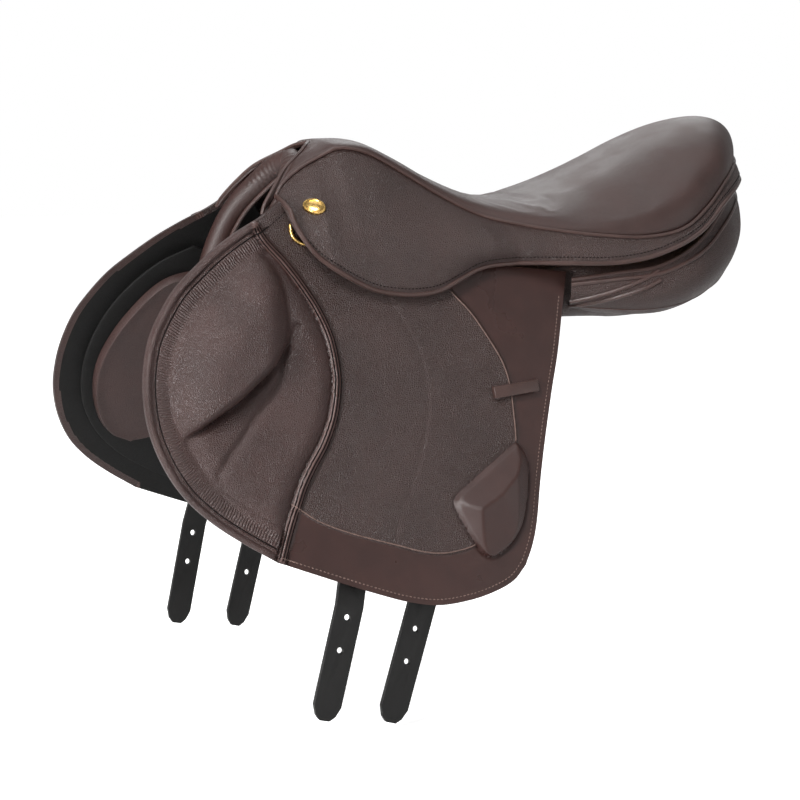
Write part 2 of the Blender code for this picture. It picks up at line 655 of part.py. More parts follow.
def nail_plate(side_name, side, material):
    """The domed oval nail head that fixes the skirt to the head."""
    cx, cz = NAIL_CENTRE
    stand = skirt_y(cx, cz) + NAIL_STAND
    steps = 20
    rings = []
    for inset, out in ((1.0, 0.0), (1.0, NAIL_RIM), (NAIL_FACE, NAIL_THICKNESS)):
        ring = []
        for step in range(steps):
            angle = 2 * math.pi * step / steps
            x = cx + NAIL_HALF_LENGTH * inset * math.cos(angle)
            z = cz + NAIL_HALF_HEIGHT * inset * math.sin(angle)
            lean = (skirt_y(cx, cz + 0.006) - skirt_y(cx, cz - 0.006)) / 0.012
            ring.append((x, side * (stand + out + lean * (z - cz)), z))
        rings.append(ring)
    loft(f"nail_plate_{side_name}", rings, material)


RING_PIVOT = (-0.1905, 0.0685)
RING_RADIUS = 0.0115
RING_LIFT = 0.0036
RING_DROP = 0.006


def d_ring(side_name, side, material):
    """The front D ring: a straight bar in its chape above, and a round bow below."""
    cx, cz = RING_PIVOT
    out = flap_y(cz) + RING_LIFT
    slope = Vector((0.0, side * FLAP_SPREAD, -1.0)).normalized()
    across = Vector((1.0, 0.0, 0.0))
    normal = across.cross(slope)
    centre = Vector((cx, side * out, cz))
    path = [centre - RING_RADIUS * across]
    for step in range(9):
        angle = math.pi * (1 - step / 8)
        path.append(centre + RING_RADIUS * math.cos(angle) * across
                    + (RING_DROP + RING_RADIUS * math.sin(angle)) * slope)
    path.append(centre + RING_RADIUS * across)
    rings = []
    count = len(path)
    for i, point in enumerate(path):
        ahead = (path[(i + 1) % count] - path[i - 1]).normalized()
        sideways = ahead.cross(normal).normalized()
        ring = []
        for step in range(8):
            angle = 2 * math.pi * step / 8
            ring.append(point + RING_WIRE * (math.cos(angle) * sideways + math.sin(angle) * normal))
        rings.append(ring)
    bm = bmesh.new()
    rows = [[bm.verts.new(p) for p in ring] for ring in rings]
    for i in range(count):
        row, after = rows[i], rows[(i + 1) % count]
        for a in range(8):
            b = (a + 1) % 8
            bm.faces.new((row[a], row[b], after[b], after[a]))
    add_object(f"d_ring_{side_name}", bm, material, tuple(centre))


def ring_chape(side_name, side, leather):
    """The leather tab that holds the ring's bar against the flap."""
    cx, cz = RING_PIVOT
    half = 0.0068
    wrap = RING_WIRE + GAP
    face, foot = wrap + 0.0016, -0.0036
    outline = (
        (-0.0034 - wrap + RING_LIFT - 0.0001, 0.016), (face, 0.012), (face, foot),
        (-wrap, foot), (-wrap, -wrap), (wrap, -wrap), (wrap, wrap), (-wrap, wrap),
    )
    points = []
    for out, up in outline:
        z = cz + up
        points.append((cx - half, side * (flap_y(z) + RING_LIFT + out), z))
    prism(f"ring_chape_{side_name}", points, (2 * half, 0.0, 0.0), leather)


# ---- assembly -----------------------------------------------------------------------------
def build():
    clear_scene()
    brown = make_material("grained_leather", (0.090, 0.050, 0.042), 0.5)
    smooth = make_material("smooth_leather", (0.078, 0.040, 0.034), 0.38)
    lining = make_material("black_lining", (0.012, 0.011, 0.011), 0.6)
    strap = make_material("black_strap", (0.015, 0.014, 0.014), 0.45)
    wood = make_material("laminated_wood", (0.42, 0.27, 0.14), 0.6)
    web = make_material("cotton_web", (0.60, 0.55, 0.44), 0.9)
    foam = make_material("seat_foam", (0.75, 0.70, 0.55), 0.95)
    steel = make_material("forged_steel", (0.55, 0.56, 0.58), 0.3, 1.0)
    dark_steel = make_material("blackened_steel", (0.03, 0.03, 0.03), 0.45, 1.0)
    brass = make_material("brass", (0.75, 0.52, 0.22), 0.3, 1.0)

    tree_head(wood)
    tree_cantle(wood)
    gullet_plate(dark_steel)
    seat_webbing(web)
    seat_foam(foam)
    seat_cover(smooth)
    pommel_facing(smooth)
    for side_name, side in SIDES.items():
        tree_rail(side_name, side, wood)
        stirrup_bar(side_name, side, steel)
        bar_catch(side_name, side, steel)
        panel(side_name, side, brown)
        panel_tongue(side_name, side, smooth)
        sweat_flap(side_name, side, lining)
        flap(side_name, side, brown, smooth)
        skirt(side_name, side, brown)
        nail_plate(side_name, side, brass)
        d_ring(side_name, side, brass)
        ring_chape(side_name, side, smooth)
        for which in BILLETS:
            billet(side_name, side, which, strap, lining)
    for which in BILLETS:
        girth_web(which, web)


build()
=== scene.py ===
"""English jumping saddle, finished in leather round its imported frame.

Metres. X runs from the pommel to the cantle, Y from the near (left) side to the off side, Z up.
"""
import json
import math

import bmesh
import bpy
import numpy as np
from mathutils import Matrix, Vector
from mathutils.bvhtree import BVHTree


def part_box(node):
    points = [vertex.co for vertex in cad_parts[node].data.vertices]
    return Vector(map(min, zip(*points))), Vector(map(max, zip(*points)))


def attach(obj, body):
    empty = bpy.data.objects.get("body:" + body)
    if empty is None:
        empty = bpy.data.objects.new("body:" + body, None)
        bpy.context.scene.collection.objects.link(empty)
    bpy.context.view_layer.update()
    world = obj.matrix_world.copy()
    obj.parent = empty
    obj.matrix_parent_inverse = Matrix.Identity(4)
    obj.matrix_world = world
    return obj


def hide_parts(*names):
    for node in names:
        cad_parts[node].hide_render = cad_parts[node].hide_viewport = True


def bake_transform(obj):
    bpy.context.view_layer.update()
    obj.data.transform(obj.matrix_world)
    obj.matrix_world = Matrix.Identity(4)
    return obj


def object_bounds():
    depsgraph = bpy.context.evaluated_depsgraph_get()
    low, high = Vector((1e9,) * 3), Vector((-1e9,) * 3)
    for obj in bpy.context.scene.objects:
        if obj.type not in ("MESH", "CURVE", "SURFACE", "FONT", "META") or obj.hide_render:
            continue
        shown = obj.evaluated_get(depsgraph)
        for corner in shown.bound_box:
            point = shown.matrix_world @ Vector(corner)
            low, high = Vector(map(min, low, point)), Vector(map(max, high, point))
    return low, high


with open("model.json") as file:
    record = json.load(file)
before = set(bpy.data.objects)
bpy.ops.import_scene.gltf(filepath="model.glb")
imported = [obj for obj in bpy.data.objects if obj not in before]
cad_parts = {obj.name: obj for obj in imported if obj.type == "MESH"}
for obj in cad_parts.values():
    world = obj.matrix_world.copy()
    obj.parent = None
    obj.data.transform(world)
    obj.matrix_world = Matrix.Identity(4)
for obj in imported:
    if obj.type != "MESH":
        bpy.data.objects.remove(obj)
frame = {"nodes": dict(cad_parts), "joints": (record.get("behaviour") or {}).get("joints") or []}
cad_low, cad_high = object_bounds()
nodes = frame["nodes"]
SIDES = {"near": -1, "off": 1}
STRAPS = ("front", "back")

# ---- tree ----------------------------------------------------------------------------------
# The tree is laminated beech, glued up in thin layers over a former and varnished. The head is
# braced by a blackened steel plate, held by two socket screws.


def add_node(tree, kind, inputs=None, **settings):
    """A shader node with its settings, and its inputs given as values or as other sockets."""
    made = tree.nodes.new("ShaderNode" + kind)
    for name, value in settings.items():
        setattr(made, name, value)
    for name, value in (inputs or {}).items():
        if isinstance(value, bpy.types.NodeSocket):
            tree.links.new(value, made.inputs[name])
        else:
            made.inputs[name].default_value = value
    return made


def number(tree, operation, *values):
    """The output of a Math node."""
    return add_node(tree, "Math", dict(enumerate(values)), operation=operation).outputs[0]


def ramp(tree, value, low, high, start=0.0, end=1.0):
    """Value carried smoothly from start to end as it goes from low to high."""
    made = add_node(
        tree, "MapRange",
        {"Value": value, "From Min": low, "From Max": high, "To Min": start, "To Max": end},
        interpolation_type="SMOOTHSTEP",
    )
    return made.outputs[0]


def mix_colours(tree, share, first, second):
    return add_node(tree, "Mix", {0: share, 6: first, 7: second}, data_type="RGBA").outputs[2]


def scaled_colour(tree, colour, shade):
    """A colour times a number."""
    grey = add_node(tree, "CombineXYZ", {"X": shade, "Y": shade, "Z": shade}).outputs[0]
    made = add_node(tree, "Mix", {0: 1.0, 6: colour, 7: grey}, data_type="RGBA", blend_type="MULTIPLY")
    return made.outputs[2]


def new_group(name, inputs, outputs):
    """An empty shader node group; inputs are (name, type, value) and outputs (name, type)."""
    group = bpy.data.node_groups.new(name, "ShaderNodeTree")
    for label, kind, value in inputs:
        socket = group.interface.new_socket(
            name=label, in_out="INPUT", socket_type="NodeSocket" + kind
        )
        if value is not None:
            socket.default_value = value
    for label, kind in outputs:
        group.interface.new_socket(
            name=label, in_out="OUTPUT", socket_type="NodeSocket" + kind
        )
    return group, group.nodes.new("NodeGroupInput"), group.nodes.new("NodeGroupOutput")


def mottle_group():
    """Slow uneven tone, as in dyed hide, varnished wood and tarnished metal."""
    group, given, result = new_group(
        "mottle",
        [("Vector", "Vector", None), ("Patch Size", "Float", 0.03), ("Contrast", "Float", 0.2)],
        [("Shade", "Float"), ("Mask", "Float")],
    )
    scale = number(group, "DIVIDE", 1.0, given.outputs["Patch Size"])
    noise = add_node(group, "TexNoise", {
        "Vector": given.outputs["Vector"], "Scale": scale, "Detail": 4.0, "Roughness": 0.55,
    }).outputs["Fac"]
    mask = ramp(group, noise, 0.3, 0.7)
    swing = number(group, "MULTIPLY", number(group, "SUBTRACT", mask, 0.5), given.outputs["Contrast"])
    group.links.new(number(group, "ADD", swing, 1.0), result.inputs["Shade"])
    group.links.new(mask, result.inputs["Mask"])
    return group


MOTTLE = mottle_group()


def new_material(name, roughness, metallic=0.0, specular=0.5):
    """A material, its node tree, its shader and its object coordinates."""
    material = bpy.data.materials.new(name)
    material.use_nodes = True
    tree = material.node_tree
    shader = tree.nodes["Principled BSDF"]
    shader.inputs["Roughness"].default_value = roughness
    shader.inputs["Metallic"].default_value = metallic
    shader.inputs["Specular IOR Level"].default_value = specular
    place = add_node(tree, "TexCoord").outputs["Object"]
    return material, tree, shader, place


def mottled(tree, place, colour, patch, contrast):
    """The colour varied by the mottle group, and the group's mask."""
    mottle = add_node(
        tree, "Group", {"Vector": place, "Patch Size": patch, "Contrast": contrast}, node_tree=MOTTLE
    )
    return scaled_colour(tree, (*colour, 1.0), mottle.outputs["Shade"]), mottle.outputs["Mask"]


def bumped(tree, shader, height, depth, normal=None):
    """Puts a height of depth metres on the shader's normal."""
    inputs = {"Height": height, "Distance": depth, "Strength": 1.0}
    if normal is not None:
        inputs["Normal"] = normal
    bump = add_node(tree, "Bump", inputs)
    tree.links.new(bump.outputs["Normal"], shader.inputs["Normal"])
    return bump.outputs["Normal"]


def plywood():
    material, tree, shader, place = new_material("beech_ply", 0.55)
    layers = add_node(tree, "TexWave", {
        "Vector": place, "Scale": 110.0, "Distortion": 1.5, "Detail": 2.0, "Detail Scale": 8.0,
    }, bands_direction="Z").outputs["Fac"]
    pale, mask = mottled(tree, place, (0.46, 0.29, 0.15), 0.02, 0.25)
    dark, _ = mottled(tree, place, (0.27, 0.15, 0.075), 0.01, 0.3)
    tree.links.new(mix_colours(tree, layers, pale, dark), shader.inputs["Base Color"])
    tree.links.new(ramp(tree, mask, 0.0, 1.0, 0.45, 0.65), shader.inputs["Roughness"])
    bumped(tree, shader, layers, 0.0002)
    return material


def steel(name, colour, roughness, patch):
    """Forged or blackened steel, a little uneven in tone and polish."""
    material, tree, shader, place = new_material(name, roughness, metallic=1.0)
    tone, mask = mottled(tree, place, colour, patch, 0.35)
    tree.links.new(tone, shader.inputs["Base Color"])
    rough = ramp(tree, mask, 0.0, 1.0, 0.75 * roughness, 1.35 * roughness)
    tree.links.new(rough, shader.inputs["Roughness"])
    scratches = add_node(tree, "TexNoise", {"Vector": place, "Scale": 900.0, "Detail": 3.0})
    bumped(tree, shader, scratches.outputs["Fac"], 0.00004)
    return material


def softened(node, name, material, body, bevel, angle=25.0):
    """A CAD node's shape with its edges rounded, as a piece of its own in the node's place."""
    bm = bmesh.new()
    bm.from_mesh(nodes[node].data)
    bmesh.ops.remove_doubles(bm, verts=bm.verts, dist=0.00002)
    bmesh.ops.dissolve_limit(
        bm, angle_limit=math.radians(1.5), verts=bm.verts, edges=bm.edges,
    )
    sharp = [e for e in bm.edges if len(e.link_faces) == 2 and e.calc_face_angle() > math.radians(angle)]
    bmesh.ops.bevel(
        bm, geom=sharp, offset=bevel, offset_type="OFFSET", segments=3, profile=0.5,
        affect="EDGES", clamp_overlap=True, material=-1,
    )
    made = new_piece(name, bm, [material], body)
    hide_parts(node)
    return made


def new_piece(name, bm, materials, body=None, sharp_angle=40.0):
    """A bmesh as a finished object, taking its finish from slot and riding on body."""
    mesh = bpy.data.meshes.new(name)
    bm.to_mesh(mesh)
    bm.free()
    mesh.shade_smooth()
    mesh.set_sharp_from_angle(angle=math.radians(sharp_angle))
    for material in materials:
        mesh.materials.append(material)
    made = bpy.data.objects.new(name, mesh)
    bpy.context.scene.collection.objects.link(made)
    if body:
        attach(made, body)
    return made


ply = plywood()
black_steel = steel("blackened_steel", (0.035, 0.035, 0.037), 0.42, 0.006)
for part in ("tree_head", "tree_cantle", "tree_rail_near", "tree_rail_off"):
    softened(part, part + "_ply", ply, "root", 0.0015, angle=30.0)
softened("gullet_plate", "head_plate", black_steel, "root", 0.0008)
for side_name in SIDES:
    softened(f"gullet_screw_{side_name}", f"head_screw_{side_name}", black_steel,
             "root", 0.0004, angle=50.0)

# ---- stirrup bars ----------------------------------------------------------------------------
# Two drop-forged steel bars riveted to the tree. A thumb catch on a pin closes the open end of
# each, and folds down to let the stirrup leather off.
forged = steel("forged_steel", (0.56, 0.565, 0.58), 0.28, 0.01)
for side_name in SIDES:
    softened(f"stirrup_bar_{side_name}", f"bar_{side_name}", forged, "root", 0.0012)
    softened(f"bar_catch_{side_name}", f"thumb_catch_{side_name}", forged,
             f"bar_catch_{side_name}", 0.0008)

# ---- webbing ---------------------------------------------------------------------------------
# Undyed cotton web, strained from the head to the cantle to carry the seat, and nailed over the
# rails to carry the girth straps.


def weave_group():
    """Plain weave: two sets of threads at right angles, each over and under in turn."""
    group, given, result = new_group(
        "weave",
        [("Vector", "Vector", None), ("Thread Width", "Float", 0.001)],
        [("Height", "Float"), ("Shade", "Float")],
    )
    place = add_node(group, "SeparateXYZ", {0: given.outputs["Vector"]})
    turn = number(group, "DIVIDE", math.pi, given.outputs["Thread Width"])
    warp = number(group, "SINE", number(group, "MULTIPLY", place.outputs["X"], turn))
    across = number(group, "ADD", place.outputs["Y"], place.outputs["Z"])
    weft = number(group, "SINE", number(group, "MULTIPLY", across, turn))
    height = number(group, "ABSOLUTE", number(group, "MULTIPLY", warp, weft))
    group.links.new(height, result.inputs["Height"])
    # Shade darkens the weave where its threads dip under each other: painted shade in its hollows.
    group.links.new(ramp(group, height, 0.0, 0.6, 0.72, 1.0), result.inputs["Shade"])
    return group


WEAVE = weave_group()


def cotton(name, colour, thread):
    material, tree, shader, place = new_material(name, 0.9, specular=0.2)
    shader.inputs["Sheen Weight"].default_value = 0.25
    woven = add_node(tree, "Group", {"Vector": place, "Thread Width": thread}, node_tree=WEAVE)
    tone, _ = mottled(tree, place, colour, 0.015, 0.25)
    # The web's tone takes the weave's painted shade in its hollows.
    tree.links.new(
        scaled_colour(tree, tone, woven.outputs["Shade"]), shader.inputs["Base Color"]
    )
    bumped(tree, shader, woven.outputs["Height"], 0.0004)
    return material


web = cotton("cotton_web", (0.56, 0.50, 0.38), 0.0012)
softened("seat_webbing", "strainer_web", web, "root", 0.0006)
for side_name in SIDES:
    for which in STRAPS:
        softened(f"girth_web_{side_name}_{which}", f"strap_web_{side_name}_{which}", web,
                 "root", 0.0006)

# ---- seat foam -------------------------------------------------------------------------------
# Moulded latex foam between the web and the seat leather, cut to the line of the tree.


def settle(obj):
    """Works the object's modifiers into its mesh."""
    graph = bpy.context.evaluated_depsgraph_get()
    made = bpy.data.meshes.new_from_object(
        obj.evaluated_get(graph), preserve_all_data_layers=True, depsgraph=graph
    )
    obj.modifiers.clear()
    obj.data = made


def points_of(mesh):
    found = np.empty(len(mesh.vertices) * 3)
    mesh.vertices.foreach_get("co", found)
    return found.reshape(-1, 3)


def move_points(mesh, points):
    mesh.vertices.foreach_set("co", np.ascontiguousarray(points, dtype=np.float64).ravel())
    mesh.update()


FILL_FRAMES = 20


def filled(obj, pressure, cap, held=None):
    """Blows the piece up as a stuffed cover does: cloth under pressure, no point moving past cap."""
    before = points_of(obj.data)
    fill = obj.modifiers.new("filling", "CLOTH")
    fill.settings.use_pressure = True
    fill.settings.uniform_pressure_force = pressure
    fill.settings.effector_weights.gravity = 0.0
    fill.settings.quality = 5
    fill.settings.mass = 0.3
    fill.settings.tension_stiffness = 20.0
    fill.settings.compression_stiffness = 20.0
    if held:
        fill.settings.vertex_group_mass = held
    fill.point_cache.frame_start = 1
    fill.point_cache.frame_end = FILL_FRAMES
    for step in range(1, FILL_FRAMES + 1):
        bpy.context.scene.frame_set(step)
    settle(obj)
    bpy.context.scene.frame_set(1)
    moved = points_of(obj.data) - before
    length = np.linalg.norm(moved, axis=1, keepdims=True)
    share = np.minimum(1.0, cap / np.maximum(length, 1e-9))
    move_points(obj.data, before + moved * share)


def cushion(node, name, material, voxel, inset, pressure, cap):
    """A stuffed piece in the room its CAD solid holds, remeshed, filled and smoothed."""
    bm = bmesh.new()
    bm.from_mesh(nodes[node].data)
    bmesh.ops.remove_doubles(bm, verts=bm.verts, dist=0.00002)
    made = new_piece(name, bm, [material])
    remesh = made.modifiers.new("even", "REMESH")
    remesh.mode = "VOXEL"
    remesh.voxel_size = voxel
    settle(made)
    bm = bmesh.new()
    bm.from_mesh(made.data)
    bm.normal_update()
    for vert in bm.verts:
        vert.co -= inset * vert.normal
    for _ in range(3):
        bmesh.ops.smooth_vert(
            bm, verts=bm.verts, factor=0.5, use_axis_x=True, use_axis_y=True, use_axis_z=True
        )
    bm.to_mesh(made.data)
    bm.free()
    filled(made, pressure, cap)
    smooth = made.modifiers.new("smooth", "SMOOTH")
    smooth.factor = 0.5
    smooth.iterations = 4
    round_off = made.modifiers.new("round", "SUBSURF")
    round_off.levels = round_off.render_levels = 1
    settle(made)
    made.data.shade_smooth()
    if not made.data.materials:
        made.data.materials.append(material)
    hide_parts(node)
    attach(made, "root")
    return made


def foam_rubber():
    material, tree, shader, place = new_material("latex_foam", 0.95, specular=0.15)
    cells = add_node(tree, "TexVoronoi", {"Vector": place, "Scale": 700.0}).outputs["Distance"]
    tone, _ = mottled(tree, place, (0.70, 0.62, 0.45), 0.03, 0.2)
    # The foam is darker in the pits of its cells: painted shade in the pores.
    shade = ramp(tree, cells, 0.0, 0.6, 0.7, 1.0)
    tree.links.new(scaled_colour(tree, tone, shade), shader.inputs["Base Color"])
    bumped(tree, shader, cells, 0.0005)
    return material


cushion("seat_foam", "foam_pad", foam_rubber(), 0.006, 0.0015, 2.0, 0.002)

# ---- leather ---------------------------------------------------------------------------------
# Two hides are used: a printed pebble grain for the flaps, skirts and panels, and a smooth calf
# for the seat, the roll, the edges and the blocks. Both are dyed through to a dark brown.


def grain_group():
    """Pebbled hide: rounded cells of uneven size parted by fine creases."""
    group, given, result = new_group(
        "leather_grain",
        [("Vector", "Vector", None), ("Pebble Size", "Float", 0.0012), ("Unevenness", "Float", 0.5)],
        [("Height", "Float"), ("Crease", "Float")],
    )
    scale = number(group, "DIVIDE", 1.0, given.outputs["Pebble Size"])
    drift = add_node(group, "TexNoise", {
        "Vector": given.outputs["Vector"], "Scale": number(group, "MULTIPLY", scale, 0.35),
        "Detail": 2.0,
    }).outputs["Color"]
    offset = add_node(group, "VectorMath", {0: drift, 1: (0.5, 0.5, 0.5)}, operation="SUBTRACT")
    reach = number(group, "MULTIPLY", given.outputs["Unevenness"], given.outputs["Pebble Size"])
    shifted = add_node(group, "VectorMath", {0: offset.outputs[0], "Scale": reach}, operation="SCALE")
    place = add_node(
        group, "VectorMath", {0: given.outputs["Vector"], 1: shifted.outputs[0]}, operation="ADD"
    ).outputs[0]
    cells = add_node(
        group, "TexVoronoi", {"Vector": place, "Scale": scale}, feature="DISTANCE_TO_EDGE"
    ).outputs["Distance"]
    pebble = ramp(group, cells, 0.0, 0.32)
    fine = add_node(group, "TexNoise", {
        "Vector": place, "Scale": number(group, "MULTIPLY", scale, 2.2), "Detail": 3.0,
    }).outputs["Fac"]
    height = number(group, "ADD", number(group, "MULTIPLY", pebble, 0.75),
                    number(group, "MULTIPLY", fine, 0.5))
    group.links.new(height, result.inputs["Height"])
    group.links.new(ramp(group, cells, 0.0, 0.10, 1.0, 0.0), result.inputs["Crease"])
    return group


GRAIN = grain_group()
GRAINED_BROWN = (0.044, 0.0235, 0.0205)
SMOOTH_BROWN = (0.040, 0.0180, 0.0150)
PEBBLE, SMOOTH_PORE = 0.0016, 0.0007


def grained(tree, place, size, unevenness=0.8):
    return add_node(
        tree, "Group", {"Vector": place, "Pebble Size": size, "Unevenness": unevenness},
        node_tree=GRAIN,
    )


def leather(name, colour, roughness, pebble, depth, patch=0.05, contrast=0.25, coat=0.0,
            specular=0.5):
    """Dyed hide of one kind: its grain, its uneven tone and its polish."""
    material, tree, shader, place = new_material(name, roughness, specular=specular)
    shader.inputs["Coat Weight"].default_value = coat
    shader.inputs["Coat Roughness"].default_value = 0.3
    hide = grained(tree, place, pebble)
    tone, mask = mottled(tree, place, colour, patch, contrast)
    # The grain's creases are darkened in the colour: painted shade in the creases.
    dark = scaled_colour(tree, tone, 0.55)
    tree.links.new(
        mix_colours(tree, hide.outputs["Crease"], tone, dark), shader.inputs["Base Color"]
    )
    polish = ramp(tree, mask, 0.0, 1.0, roughness - 0.05, roughness + 0.06)
    rough = number(tree, "MULTIPLY_ADD", hide.outputs["Crease"], 0.12, polish)
    tree.links.new(rough, shader.inputs["Roughness"])
    bumped(tree, shader, hide.outputs["Height"], depth)
    return material


pebbled = leather("grained_leather", GRAINED_BROWN, 0.42, PEBBLE, 0.0006)
calf = leather("smooth_leather", SMOOTH_BROWN, 0.40, SMOOTH_PORE, 0.00008, coat=0.06)
edge_leather = leather("edge_leather", (0.058, 0.0300, 0.0255), 0.33, SMOOTH_PORE, 0.00006, patch=0.02)
black_leather = leather("black_lining", (0.0065, 0.0062, 0.006), 0.6, 0.0009, 0.0001, patch=0.03,
                        specular=0.25)


def thread_material(name, colour, specular=0.4):
    """Waxed linen thread, laid up in a slow twist."""
    material, tree, shader, place = new_material(name, 0.7, specular=specular)
    strands = add_node(tree, "TexWave", {
        "Vector": place, "Scale": 420.0, "Distortion": 2.0,
    }, bands_direction="DIAGONAL").outputs["Fac"]
    tone, _ = mottled(tree, place, colour, 0.004, 0.4)
    # The thread is darker in the grooves of its twist and lighter on its strands: painted shade and
    # highlight.
    tree.links.new(
        scaled_colour(tree, tone, ramp(tree, strands, 0.0, 1.0, 0.75, 1.15)),
        shader.inputs["Base Color"],
    )
    bumped(tree, shader, strands, 0.0001)
    return material


dark_thread = thread_material("dark_thread", (0.0045, 0.0030, 0.0028), specular=0.1)
light_thread = thread_material("light_thread", (0.15, 0.095, 0.080))

# ---- seat ------------------------------------------------------------------------------------
# One piece of smooth calf, drawn wet over the foam and tacked under the edge of the tree. In
# front it narrows to a tongue that turns down over the head.

# X, half width, height of the lower edge, height of the top on the mid-plane
SEAT_STATIONS = (
    (-0.1500, 0.0440, 0.1285, 0.1350), (-0.1400, 0.0465, 0.1290, 0.1355),
    (-0.1200, 0.0500, 0.1240, 0.1340), (-0.0900, 0.0540, 0.1070, 0.1200),
    (-0.0600, 0.0640, 0.0880, 0.1030), (-0.0300, 0.0770, 0.0720, 0.0900),
    (0.0000, 0.0900, 0.0640, 0.0835), (0.0350, 0.1040, 0.0580, 0.0820),
    (0.0700, 0.1170, 0.0540, 0.0900), (0.1050, 0.1260, 0.0525, 0.1030),
    (0.1400, 0.1270, 0.0585, 0.1190), (0.1700, 0.1170, 0.0755, 0.1340),
    (0.2000, 0.0980, 0.0975, 0.1460), (0.2250, 0.0690, 0.1090, 0.1510),
    (0.2430, 0.0400, 0.1130, 0.1470), (0.2545, 0.0170, 0.1145, 0.1380),
    (0.2575, 0.0000, 0.1150, 0.1290),
)
# The front edge of the tongue on the off side, from the mid-plane down; and its lower edge
TONGUE_EDGE = (
    (-0.1560, 0.000, 0.1325), (-0.1635, 0.012, 0.1300), (-0.1735, 0.022, 0.1235),
    (-0.1913, 0.036, 0.1123), (-0.2041, 0.046, 0.0988), (-0.2158, 0.053, 0.0841),
    (-0.2196, 0.056, 0.0758),
)
TONGUE_SIDE = (
    (-0.1500, 0.0440, 0.1285), (-0.1611, 0.0415, 0.1226), (-0.1807, 0.0435, 0.1131),
    (-0.1970, 0.0460, 0.1011), (-0.2044, 0.0490, 0.0914), (-0.2196, 0.0560, 0.0758),
)
SEAT_LEATHER = 0.003


def spline(points, steps=8):
    """A smooth curve through the points, as an array of rows."""
    points = np.array(points, float)
    ends = np.vstack([2 * points[0] - points[1], points, 2 * points[-1] - points[-2]])
    rows = []
    for a, b, c, d in zip(ends, ends[1:], ends[2:], ends[3:]):
        for t in np.arange(steps) / steps:
            rows.append(0.5 * (2 * b + (c - a) * t + (2 * a - 5 * b + 4 * c - d) * t**2
                               + (3 * b - a - 3 * c + d) * t**3))
    return np.array([*rows, points[-1]])


def lengths_of(line, columns=None):
    """Length along a line to each of its points, counting only these columns."""
    steps = np.diff(line if columns is None else line[:, columns], axis=0)
    return np.concatenate([[0.0], np.cumsum(np.linalg.norm(steps, axis=1))])


def at_shares(line, shares, columns=None):
    """Points at these shares of the line's length."""
    run = lengths_of(line, columns)
    return np.stack([np.interp(shares, run / run[-1], c) for c in line.T], axis=1)


def evenly(line, spacing):
    count = max(2, round(lengths_of(line)[-1] / spacing) + 1)
    return at_shares(line, np.linspace(0.0, 1.0, count))


def unit(rows):
    return rows / np.maximum(np.linalg.norm(rows, axis=1, keepdims=True), 1e-9)


def heading(line, shares, reach):
    """The way a line runs at these shares of its length, from a little before to a little after."""
    after = at_shares(line, np.clip(shares + reach, 0, 1))
    return after - at_shares(line, np.clip(shares - reach, 0, 1))


def grid_sheet(columns, rows, place):
    """A bmesh grid set in space by place, which takes the shares across and along, 0 to 1."""
    bm = bmesh.new()
    bmesh.ops.create_grid(bm, x_segments=columns, y_segments=rows, size=0.5)
    shares = np.array([v.co[:2] for v in bm.verts]) + 0.5
    for vert, point in zip(bm.verts, place(shares[:, 0], shares[:, 1])):
        vert.co = point
    return bm


def face_outwards(bm, from_point):
    """Turns an open sheet's faces away from a point inside the saddle."""
    bmesh.ops.recalc_face_normals(bm, faces=bm.faces)
    away = sum((f.calc_center_median() - Vector(from_point)).dot(f.normal) for f in bm.faces)
    if away < 0:
        bmesh.ops.reverse_faces(bm, faces=bm.faces)


def four_sided(bottom, top, front, back):
    """A patch between four lines of points, as a function of the shares along and up."""
    def place(along, up):
        a, b = along[:, None], up[:, None]
        sides = (1 - b) * at_shares(bottom, along) + b * at_shares(top, along)
        sides += (1 - a) * at_shares(front, up) + a * at_shares(back, up)
        corners = (1 - a) * (1 - b) * bottom[0] + a * (1 - b) * bottom[-1]
        corners += (1 - a) * b * top[0] + a * b * top[-1]
        return sides - corners
    return place


seat_line = spline(SEAT_STATIONS)
tongue_half = spline(TONGUE_EDGE)
tongue_line = np.vstack([tongue_half[::-1] * (1, -1, 1), tongue_half[1:]])
TONGUE_SHARE = 0.12
off_side = spline(TONGUE_SIDE)[::-1]
near_side = off_side * (1, -1, 1)


def seat_dome(along, across):
    """The seat behind the tongue: along runs to the cantle, across from near to off."""
    x, half, edge, top = at_shares(seat_line, along, columns=[0, 1, 3]).T
    angle = math.pi * (across - 0.5)
    rise = np.maximum(np.cos(angle), 0.0) ** 0.75
    return np.stack([x, half * np.sin(angle), edge + (top - edge) * rise], axis=1)


seat_front = seat_dome(np.zeros(60), np.linspace(0.0, 1.0, 60))


def tongue_patch(along, across):
    """The tongue, ruled from its front edge to the seat and drawn to its two side lines."""
    a = along[:, None]
    place = (1 - a) * at_shares(tongue_line, across) + a * at_shares(seat_front, across)
    for line, nearness in ((near_side, 1 - 2 * across), (off_side, 2 * across - 1)):
        drawn = at_shares(line, along) - ((1 - a) * line[0] + a * line[-1])
        place += np.clip(nearness, 0.0, 1.0)[:, None] ** 2 * drawn
    return place


def seat_surface(along, across):
    """The seat's outside, tongue and all."""
    behind = np.clip((along - TONGUE_SHARE) / (1 - TONGUE_SHARE), 0, 1)
    before = np.clip(along / TONGUE_SHARE, 0, 1)
    tongue = (along < TONGUE_SHARE)[:, None]
    return np.where(tongue, tongue_patch(before, across), seat_dome(behind, across))


bm = grid_sheet(175, 72, seat_surface)
bmesh.ops.remove_doubles(bm, verts=bm.verts, dist=0.0002)
face_outwards(bm, (0.05, 0.0, -0.1))
seat = new_piece("seat_leather", bm, [calf])
rim = seat.vertex_groups.new(name="tacked")
counts = {}
for polygon in seat.data.polygons:
    for key in polygon.edge_keys:
        counts[key] = counts.get(key, 0) + 1
tacked = sorted({v for key, count in counts.items() if count == 1 for v in key})
rim.add(tacked, 1.0, "REPLACE")
filled(seat, 1.2, 0.0025, held="tacked")
thick = seat.modifiers.new("hide", "SOLIDIFY")
thick.thickness = SEAT_LEATHER
thick.offset = -1.0
settle(seat)
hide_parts("seat_cover")
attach(seat, "root")


